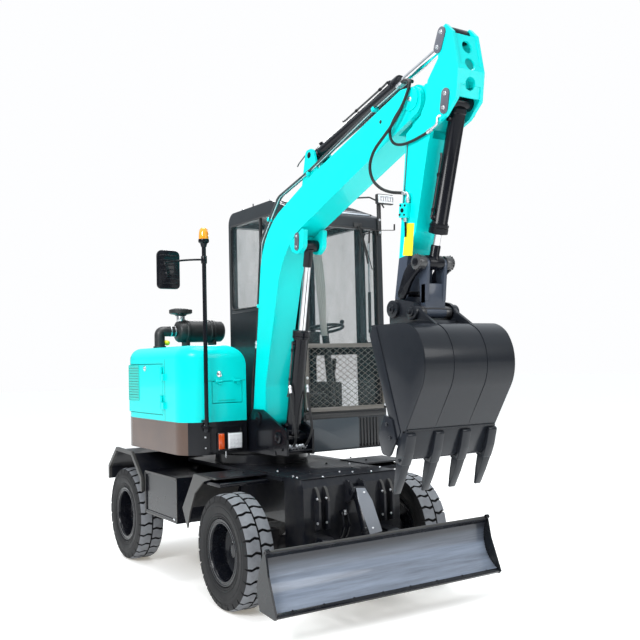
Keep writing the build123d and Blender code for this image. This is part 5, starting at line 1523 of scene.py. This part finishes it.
def makeChassisTrim(v):
    mesh = bmesh.new()
    z = v["deck"]
    flat = [(0.560, -0.435, 0.02), (1.430, -0.435, 0.02), (1.430, 0.435, 0.02), (0.560, 0.435, 0.02)]
    addPlate(mesh, flat, (z, z + 0.006), 1, "z", 0.002)
    addPlate(mesh, [(0.700, -0.250, 0.05), (1.240, -0.250, 0.05), (1.240, 0.250, 0.05),
                    (0.700, 0.250, 0.05)],
             (z + 0.006, z + 0.010), 1, "z", 0.002)
    for x, y in v["deckBolts"]:
        addBolt(mesh, (x, y, z + 0.006), (0, 0, 1), 0.017, 2)
    for x in (0.780, 1.160):
        for y in (-0.200, 0.200):
            addBolt(mesh, (x, y, z + 0.010), (0, 0, 1), 0.018, 0)
    for side in (-1, 1):
        # pins of the blade's arms and the brackets over them
        addRod(mesh, (1.535, side * 0.245, 0.475), (1.535, side * 0.355, 0.475), 0.060, 0, 40, 0.004)
        for y in (side * 0.260, side * 0.340):
            for height in (0.640, 0.820):
                addBolt(mesh, (1.498, y - 0.009, height), (0, -1, 0), 0.018, 2)
            # thin edge-grey strips along the brackets' edges: painted highlights
            addPlate(mesh, [(1.4605, 0.905), (1.487, 0.884), (1.523, 0.803), (1.519, 0.799), (1.482, 0.876),
                            (1.4605, 0.893)], (y - 0.0095, y + 0.0095), 3, edge=0.0)
        # frame round the side box's panel, in the grey of the painted edge highlights
        (back, front), (low, high) = v["box"]
        depth, bar = v["boxY"], v["boxFrame"]
        for x, height in (((back, front), (low, low + bar)), ((back, front), (high - bar, high)),
                          ((back, back + bar), (low, high)), ((front - bar, front), (low, high))):
            addBox(mesh, x, inOrder(side * (depth - 0.003), side * (depth + 0.004)), height, 3, 0.0015, 1)
        addBox(mesh, (0.100, 0.135), inOrder(side * depth, side * (depth + 0.012)), (0.530, 0.548), 2, 0.004)
        for x in (-0.500, 0.080):
            addRod(mesh, (x, side * (depth - 0.006), 0.862), (x + 0.070, side * (depth - 0.006), 0.862),
                   0.007, 0, 16, 0.002)
        # braces that carry the front mudguard
        addPlate(mesh, [(0.600, 0.930, 0.01), (1.000, 0.930, 0.01), (1.000, 0.900), (0.640, 0.900)],
                 inOrder(side * 0.480, side * 0.900), 0, edge=0.003)
        for x in (0.560, 0.800):
            addBolt(mesh, (x, side * 0.600, 0.969), (0, 0, 1), 0.018, 0)
    # hose fitting on the front box, left of the cylinder
    addFitting(mesh, (1.500, -0.104, 0.715), (1.492, -0.104, 0.675), 0.012, 2)
    addRod(mesh, (1.458, -0.104, 0.700), (1.500, -0.104, 0.700), 0.016, 0, 6, 0.002)
    for y in (-0.128, -0.080):
        addTube(mesh, [(1.466, y, 0.700), (1.500, y, 0.690, 0.02), (1.512, y + 0.006, 0.600, 0.05),
                       (1.480, y, 0.520, 0.03), (1.455, y, 0.500)], 0.009, 0, 3)
    # drive shafts to both axles from the box in the middle
    for x, end in ((0.930, 0.300), (-0.930, -0.300)):
        addRod(mesh, (x, 0.060, 0.440), (end, 0.060, 0.540), 0.032, 0, 24, 0.003)
        addRod(mesh, (x, 0.060, 0.440), (x - 0.06 if x > 0 else x + 0.06, 0.060, 0.449), 0.050, 0, 24, 0.005)
    addPlate(mesh, [(-0.300, 0.440, 0.03), (0.300, 0.440, 0.03), (0.300, 0.562), (-0.300, 0.562)],
             (-0.120, 0.220), 0, edge=0.010)
    finishPiece("chassisTrim", mesh, ("blackPaint", "deckPaint", "zinc", "edgeHighlightGrey"), "chassis")


makeChassisTrim(chassisShape)
print("blade and chassis ready")


# Hood: seams, door louvre, locks; black strips round the front lamps as painted shade of a recess
hoodShape = {"side": 0.8604, "front": 0.2856, "seam": 0.0018, "louvreX": (-1.074, -0.800),
             "louvreZ": (1.512, 1.838), "slats": 13}


def addLock(mesh, spot, axis, kind=0):
    for radius, low, high in ((0.026, 0.0, 0.004), (0.019, 0.004, 0.010), (0.010, 0.010, 0.014)):
        a, b = (Vector(spot) + h * Vector(axis) for h in (low, high))
        addRod(mesh, a, b, radius, kind, 28, 0.0015)


def makeHoodTrim(v):
    mesh = bmesh.new()
    side, front, seam = v["side"], v["front"], v["seam"]
    for sign in (-1, 1):
        y = inOrder(sign * (side - 0.004), sign * (side + 0.0003))
        addBox(mesh, (-0.170 - seam, -0.170 + seam), y, (1.352, 1.888), 0, 0)
        if sign > 0:
            addBox(mesh, (-1.080, -0.620), y, (1.850 - seam, 1.850 + seam), 0, 0)
    for y in ((-0.690, -0.622), (-0.328, -0.300)):
        addBox(mesh, (front - 0.004, front + 0.0003), y, (1.693 - seam, 1.693 + seam), 0, 0)
    addLock(mesh, (front, -0.547, 1.750), (1, 0, 0), 1)
    # rear bonnet seam, its handle and two hinges at the back of the machine
    addTube(mesh, [(-1.5402, -0.400, 1.420), (-1.5402, -0.400, 1.860)], 0.0022, 0, 1)
    addTube(mesh, [(-1.5402, 0.400, 1.420), (-1.5402, 0.400, 1.860)], 0.0022, 0, 1)
    addBox(mesh, (-1.548, -1.538), (-0.075, 0.075), (1.560, 1.610), 0, 0.006)
    addLock(mesh, (-1.5400, 0.000, 1.680), (-1, 0, 0), 1)
    # pale strip between hood and skirt: a painted highlight along the hood's lower edge
    addBox(mesh, (-1.050, 0.060), (-side - 0.001, -side + 0.010), (1.3432, 1.3470), 2, 0.001, 1)
    finishPiece("hoodTrim", mesh, ("plasticBlack", "chrome", "coverGrey"), "upper")
    # louvre on the right-hand door, folded slats in a shallow frame, all in the darker teal of painted shade
    door = bmesh.new()
    (back, ahead), (low, high) = v["louvreX"], v["louvreZ"]
    for x, z in (((back, ahead), (low - 0.006, low + 0.004)), ((back, ahead), (high - 0.004, high + 0.004)),
                 ((back - 0.003, back + 0.005), (low, high)), ((ahead - 0.005, ahead + 0.003), (low, high))):
        addBox(door, x, (-side - 0.0035, -side + 0.004), z, 0, 0.0015, 1)
    # black sheet behind the slats: painted shade inside the louvre
    addBox(door, (back, ahead), (-side - 0.0004, -side + 0.002), (low, high), 1, 0)
    pitch = (high - low) / v["slats"]
    for i in range(v["slats"]):
        z = low + (i + 0.5) * pitch
        slat = bmesh.new()
        bmesh.ops.create_cube(slat, size=1)
        bmesh.ops.scale(slat, vec=(ahead - back - 0.008, 0.0016, pitch * 0.86), verts=slat.verts)
        bmesh.ops.rotate(slat, cent=(0, 0, 0), matrix=Matrix.Rotation(0.16, 3, "X"), verts=slat.verts)
        bmesh.ops.translate(slat, vec=((ahead + back) / 2, -side - 0.0022, z), verts=slat.verts)
        absorb(door, slat, 0)
    addLock(door, (-0.645, -side, 1.810), (0, -1, 0), 2)
    finishPiece("doorLouvre", door, ("tealPaintedShade", "plasticBlack", "chrome"), "side_door")
    # darker teal strip along the front lid's lower edge: painted shade
    lid = bmesh.new()
    addBox(lid, (front - 0.0006, front + 0.0030), (-0.560, -0.400), (1.522, 1.530), 0, 0.001, 1)
    finishPiece("lidEdge", lid, ("tealPaintedShade",), "front_lid")
    foot = bmesh.new()
    # black strips round the front lamps: painted shade of a recess
    for y, z in (((-0.640, -0.345), (1.292, 1.304)), ((-0.640, -0.345), (1.080, 1.092)),
                 ((-0.640, -0.628), (1.080, 1.304)), ((-0.357, -0.345), (1.080, 1.304))):
        addBox(foot, (front, front + 0.006), y, z, 0, 0.002, 1)
    addRod(foot, (front + 0.012, -0.504, 1.060), (front + 0.012, -0.504, 1.092), 0.005, 1, 12)
    addTurned(foot, [(0.012 + 0.003 * cos(t * pi / 3), 0.003 * sin(t * pi / 3)) for t in range(7)],
              (front + 0.012, -0.504, 1.050), (0, 1, 0), 1, 20)
    addBolt(foot, (front, -0.686, 1.220), (1, 0, 0), 0.014, 1)
    addBolt(foot, (front, -0.686, 1.130), (1, 0, 0), 0.014, 1)
    finishPiece("lampRecessShade", foot, ("blackPaint", "zinc"), "upper")


makeHoodTrim(hoodShape)


# Cab: window seals, skylight with its bars, lifting eyes, wiper, handle, base panel, curtain
cabShape = {"front": 0.7505, "right": 0.0045, "left": 0.8705, "back": -0.6005,
            "base": ((0.020, 0.565), (1.078, 1.345)), "ribs": 6, "roofBars": (0.12, 0.36, 0.60, 0.86)}


def addSeal(target, outline, level, across, radius=0.008, kind=0):
    # rubber round a window: a closed bent line, swept
    corners = [outlineSpot(across, p[0], p[1], level) for p in outline]
    middle = (corners[0] + corners[1]) / 2
    route = [tuple(middle)] + [(*c, 0.045) for c in corners[1:]] + [(*corners[0], 0.045), tuple(middle)]
    addTube(target, route, radius, kind, 2)


def makeCabTrim(v):
    mesh = bmesh.new()
    side = [(-0.545, 2.355), (-0.545, 3.172), (0.252, 3.172), (0.692, 3.014), (0.692, 2.355)]
    addSeal(mesh, side, v["right"] - 0.002, "y")
    addSeal(mesh, [(0.065, 1.405), (0.810, 1.405), (0.810, 3.015), (0.065, 3.015)], v["front"] + 0.001, "x")
    addSeal(mesh, [(0.065, 2.355), (0.810, 2.355), (0.810, 3.175), (0.065, 3.175)], v["back"] - 0.001, "x")
    addSeal(mesh, [(0.466, 1.996), (0.694, 1.996), (0.694, 3.014), (0.466, 3.014)], v["left"] + 0.001, "y")
    addBox(mesh, (0.030, 0.060), (v["right"] - 0.004, v["right"] + 0.020), (2.360, 3.168), 0, 0.004)
    addBox(mesh, (-0.545, 0.690), (v["right"] - 0.005, v["right"] + 0.004), (2.318, 2.344), 2, 0.004)
    # base panel and the black ribs beside it
    (right, left), (low, high) = v["base"]
    addPlate(mesh, [(right, low, 0.02), (left, low, 0.02), (left, high, 0.02), (right, high, 0.02)],
             (v["front"], v["front"] + 0.006), 3, "x", 0.003)
    for i in range(v["ribs"]):
        y = left + 0.020 + i * 0.034
        addBox(mesh, (v["front"] - 0.001, v["front"] + 0.010), (y, y + 0.018), (low + 0.01, high - 0.01), 0,
               0.005)
    addBox(mesh, (v["front"] - 0.001, v["front"] + 0.012), (0.015, 0.860), (1.350, 1.392), 0, 0.006)
    # skylight on the slanted front of the roof
    start, end = Vector((0.290, 3.288)), Vector((0.705, 3.139))
    run = (end - start).normalized()
    out = Vector((-run.y, run.x))
    # skylight on the slanted front of the roof, its pane an opaque pale plate: painted reflection of the sky
    glass = [start, end, end + 0.010 * out, start + 0.010 * out]
    addPlate(mesh, [tuple(p) for p in glass], (0.105, 0.775), 4, edge=0.002)
    for share in v["roofBars"]:
        spot = start + share * (end - start) + 0.0105 * out
        addRod(mesh, planeSpot(spot, 0.085), planeSpot(spot, 0.795), 0.0045, 0, 12, 0.001)
    for y in (0.090, 0.790):
        addRod(mesh, planeSpot(start + 0.008 * out, y), planeSpot(end + 0.008 * out, y), 0.008, 2, 12, 0.002)
    for x, y in ((-0.420, 0.075), (-0.420, 0.800), (0.130, 0.075), (0.130, 0.800)):
        addTurned(mesh, [(0.016 + 0.005 * cos(t * pi / 4), 0.005 * sin(t * pi / 4)) for t in range(9)],
                  (x, y, 3.318), (0, 1, 0.2), 1, 24)
        addRod(mesh, (x, y, 3.297), (x, y, 3.306), 0.016, 1, 20, 0.002)
    addRod(mesh, (-0.180, 0.060, 3.298), (-0.180, 0.060, 3.345), 0.006, 0, 12, 0.001)
    # cable over the roof to the work lamp
    addTube(mesh, [(0.300, 0.560, 3.296), (0.420, 0.560, 3.290, 0.02), (0.700, 0.600, 3.290, 0.04),
                   (0.720, 0.770, 3.308, 0.05), (0.742, 0.880, 3.262, 0.04), (0.770, 0.890, 3.215)], 0.0075,
            0, 2)
    # wiper: motor, arm and blade
    addBox(mesh, (0.735, 0.765), (0.560, 0.650), (3.015, 3.060), 0, 0.008)
    addTube(mesh, [(0.768, 0.599, 3.030), (0.772, 0.618, 2.983, 0.02), (0.768, 0.668, 2.840)], 0.006, 0, 2)
    addPlate(mesh, [(0.655, 2.880), (0.672, 2.880), (0.712, 2.700), (0.698, 2.696)], (0.758, 0.768), 0, "x",
             0.001)
    addTube(mesh, [(0.768, 0.620, 3.030), (0.768, 0.745, 2.645)], 0.0045, 0, 2)
    addPlate(mesh, [(0.610, 2.700), (0.622, 2.702), (0.640, 3.000), (0.630, 3.000)], (0.7545, 0.7600), 0,
             "x", 0.001)
    # hinges of the windscreen and its gas struts inside
    for y in (0.110, 0.760):
        addRod(mesh, (0.690, y, 2.100), (0.700, y, 2.900), 0.009, 1, 16, 0.002)
        addRod(mesh, (0.688, y, 2.080), (0.694, y, 2.450), 0.014, 0, 16, 0.002)
    # roof lining and the floor mat
    addBox(mesh, (-0.530, 0.230), (0.075, 0.800), (3.215, 3.238), 0, 0.010)
    addBox(mesh, (-0.530, 0.680), (0.075, 0.800), (1.1405, 1.150), 0, 0.004)
    # display on its stalk and the box behind the seat
    addBox(mesh, (0.545, 0.575), (0.150, 0.300), (1.980, 2.100), 0, 0.010)
    addTube(mesh, [(0.575, 0.150, 1.900), (0.570, 0.180, 1.960, 0.02), (0.562, 0.225, 2.000)], 0.008, 0, 2)
    addBox(mesh, (-0.535, -0.400), (0.120, 0.750), (1.150, 1.900), 0, 0.020)
    finishPiece("cabTrim", mesh, ("plasticBlack", "zinc", "greyPaint", "panelGrey", "skylight"), "upper")
    # door: handle, lock, seals
    door = bmesh.new()
    for low, high in ((2.000, 3.075), (1.350, 1.900)):
        addSeal(door, [(-0.420, low - 0.004), (0.360, low - 0.004), (0.360, high + 0.004),
                       (-0.420, high + 0.004)],
                v["left"] + 0.001, "y")
    addTube(door, [(0.375, v["left"] - 0.002, 1.560), (0.375, v["left"] + 0.045, 1.562, 0.02),
                   (0.375, v["left"] + 0.045, 1.838, 0.02), (0.375, v["left"] - 0.002, 1.840)], 0.010, 0, 3)
    addBox(door, (0.330, 0.400), (v["left"] - 0.001, v["left"] + 0.012), (1.915, 1.985), 0, 0.006)
    addLock(door, (0.352, v["left"] + 0.010, 1.950), (0, 1, 0), 1)
    finishPiece("doorTrim", door, ("plasticBlack", "zinc"), "cab_door")


makeCabTrim(cabShape)


# Gathered curtain strip inside the windscreen
curtainShape = {"top": (0.655, 0.215, 2.990), "bottom": (0.630, 0.312, 2.060), "width": 0.085, "folds": 5,
                "depth": 0.011}


def makeCurtain(v):
    mesh = bmesh.new()
    bmesh.ops.create_grid(mesh, x_segments=48, y_segments=40, size=0.5)
    top, bottom = Vector(v["top"]), Vector(v["bottom"])
    for vert in mesh.verts:
        across, down = vert.co.x, 0.5 - vert.co.y
        flare = 1.0 + 0.25 * sin(5.0 * down) * down
        wave = sin(2 * pi * v["folds"] * (across + 0.5) + 1.3 * sin(4.0 * down))
        spot = top.lerp(bottom, down)
        vert.co = spot + Vector((v["depth"] * wave + 0.004 * sin(9.0 * down + 6 * across),
                                 v["width"] * flare * across, 0))
    rows = {}
    for vert in mesh.verts:
        rows.setdefault(round(vert.co.z, 3), []).append(vert.co)
    area = sum(face.calc_area() for face in mesh.faces)
    piece = finishPiece("curtainStrip", mesh, ("paleCloth",), "upper", (), 180)


makeCurtain(curtainShape)
print("hood and cab ready")


# Platform: pins of the boom's foot and cylinder, hoses from the turret
platformShape = {"wall": 0.131, "pins": (((0.450, 1.360), 0.045), ((0.800, 1.220), 0.036))}


def makePlatformTrim(v):
    mesh = bmesh.new()
    for side in (-1, 1):
        face = armCentre + side * v["wall"]
        for place, radius in v["pins"]:
            addRod(mesh, planeSpot(place, face), planeSpot(place, face + side * 0.012), radius + 0.014, 0,
                   36, 0.003)
            addBolt(mesh, planeSpot(place, face + side * 0.012), (0, side, 0), 0.028, 0)
        for place in ((0.230, 1.130), (0.600, 1.130), (0.860, 1.130)):
            addBolt(mesh, planeSpot(place, face), (0, side, 0), 0.022, 0)
    # hard lines and fittings on the turret's front
    for i, y in enumerate((-0.235, -0.205, -0.175, -0.145, -0.115, -0.085)):
        x = 0.945 + 0.006 * (i % 2)
        addFitting(mesh, (x - 0.060, y, 1.135), (x - 0.020, y, 1.165), 0.011, 1)
        addTube(mesh, [(x - 0.062, y, 1.133), (x - 0.120, y, 1.110, 0.02), (x - 0.300, y, 1.112)], 0.008, 0,
                2)
    addBox(mesh, (0.860, 0.935), (-0.250, -0.030), (1.1085, 1.128), 0, 0.006)
    for y in (-0.300, -0.325):
        addTube(mesh, [(0.200, y, 1.150), (0.230, y, 1.300, 0.05), (0.250, y + 0.01, 1.600, 0.05),
                       (0.225, y + 0.012, 1.900)], 0.010, 0, 2)
    finishPiece("platformTrim", mesh, ("blackPaint", "zinc"), "upper")
    # hoses up to the pipes on the boom's back
    feed = bmesh.new()
    for i, (y, radius, _) in enumerate(boomPipeShape["lines"]):
        x = 0.330 + 0.012 * (i % 2)
        addPipe(feed, [(x - 0.030, y, 1.235), (x - 0.040, y, 1.400), (x - 0.030, y, 1.600),
                       (x + 0.010, y, 1.800),
                       (x + 0.045, y, 1.900), (0.390, y, 1.985)], radius + 0.001, 0, 3)
    piece = finishPiece("feedHoses", feed, ("hoseRubber",), None)
    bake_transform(piece)
    # hoses to the boom cylinder
    for name, y, foot in (("liftHoseRight", -0.222, -0.205), ("liftHoseLeft", -0.060, -0.090)):
        hose = bmesh.new()
        addPipe(hose, [(0.925, foot, 1.160), (0.985, foot - 0.010, 1.190), (1.010, y - 0.012, 1.290),
                       (0.985, y - 0.016, 1.420), (0.950, y - 0.010, 1.530), (0.925, y, 1.600)], 0.0105, 0,
                3)
        addFitting(hose, (0.930, y - 0.002, 1.585), (0.915, y + 0.002, 1.650), 0.0135, 1)
        piece = finishPiece(name, hose, ("hoseRubber", "zinc"), None)
        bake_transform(piece)


makePlatformTrim(platformShape)
print("platform ready")


# Front steering: caps on the kingpins, bolts round the hubs
def makeAxleTrim():
    for name, side in (("left", 1), ("right", -1)):
        mesh = bmesh.new()
        for turn in range(8):
            angle = 2 * pi * turn / 8
            addBolt(mesh, (1.050 + 0.068 * cos(angle), side * 0.640, 0.430 + 0.068 * sin(angle)),
                    (0, -side, 0), 0.016, 0)
        addBox(mesh, (0.985, 1.115), inOrder(side * 0.560, side * 0.640), (0.415, 0.445), 1, 0.008)
        addRod(mesh, (0.880, side * 0.600, 0.3785), (0.880, side * 0.600, 0.394), 0.018, 0, 6, 0.001)
        finishPiece("knuckleBolts" + name.capitalize(), mesh, ("zinc", "castBlack"), "knuckle_" + name)


makeAxleTrim()
print("axle trim ready")
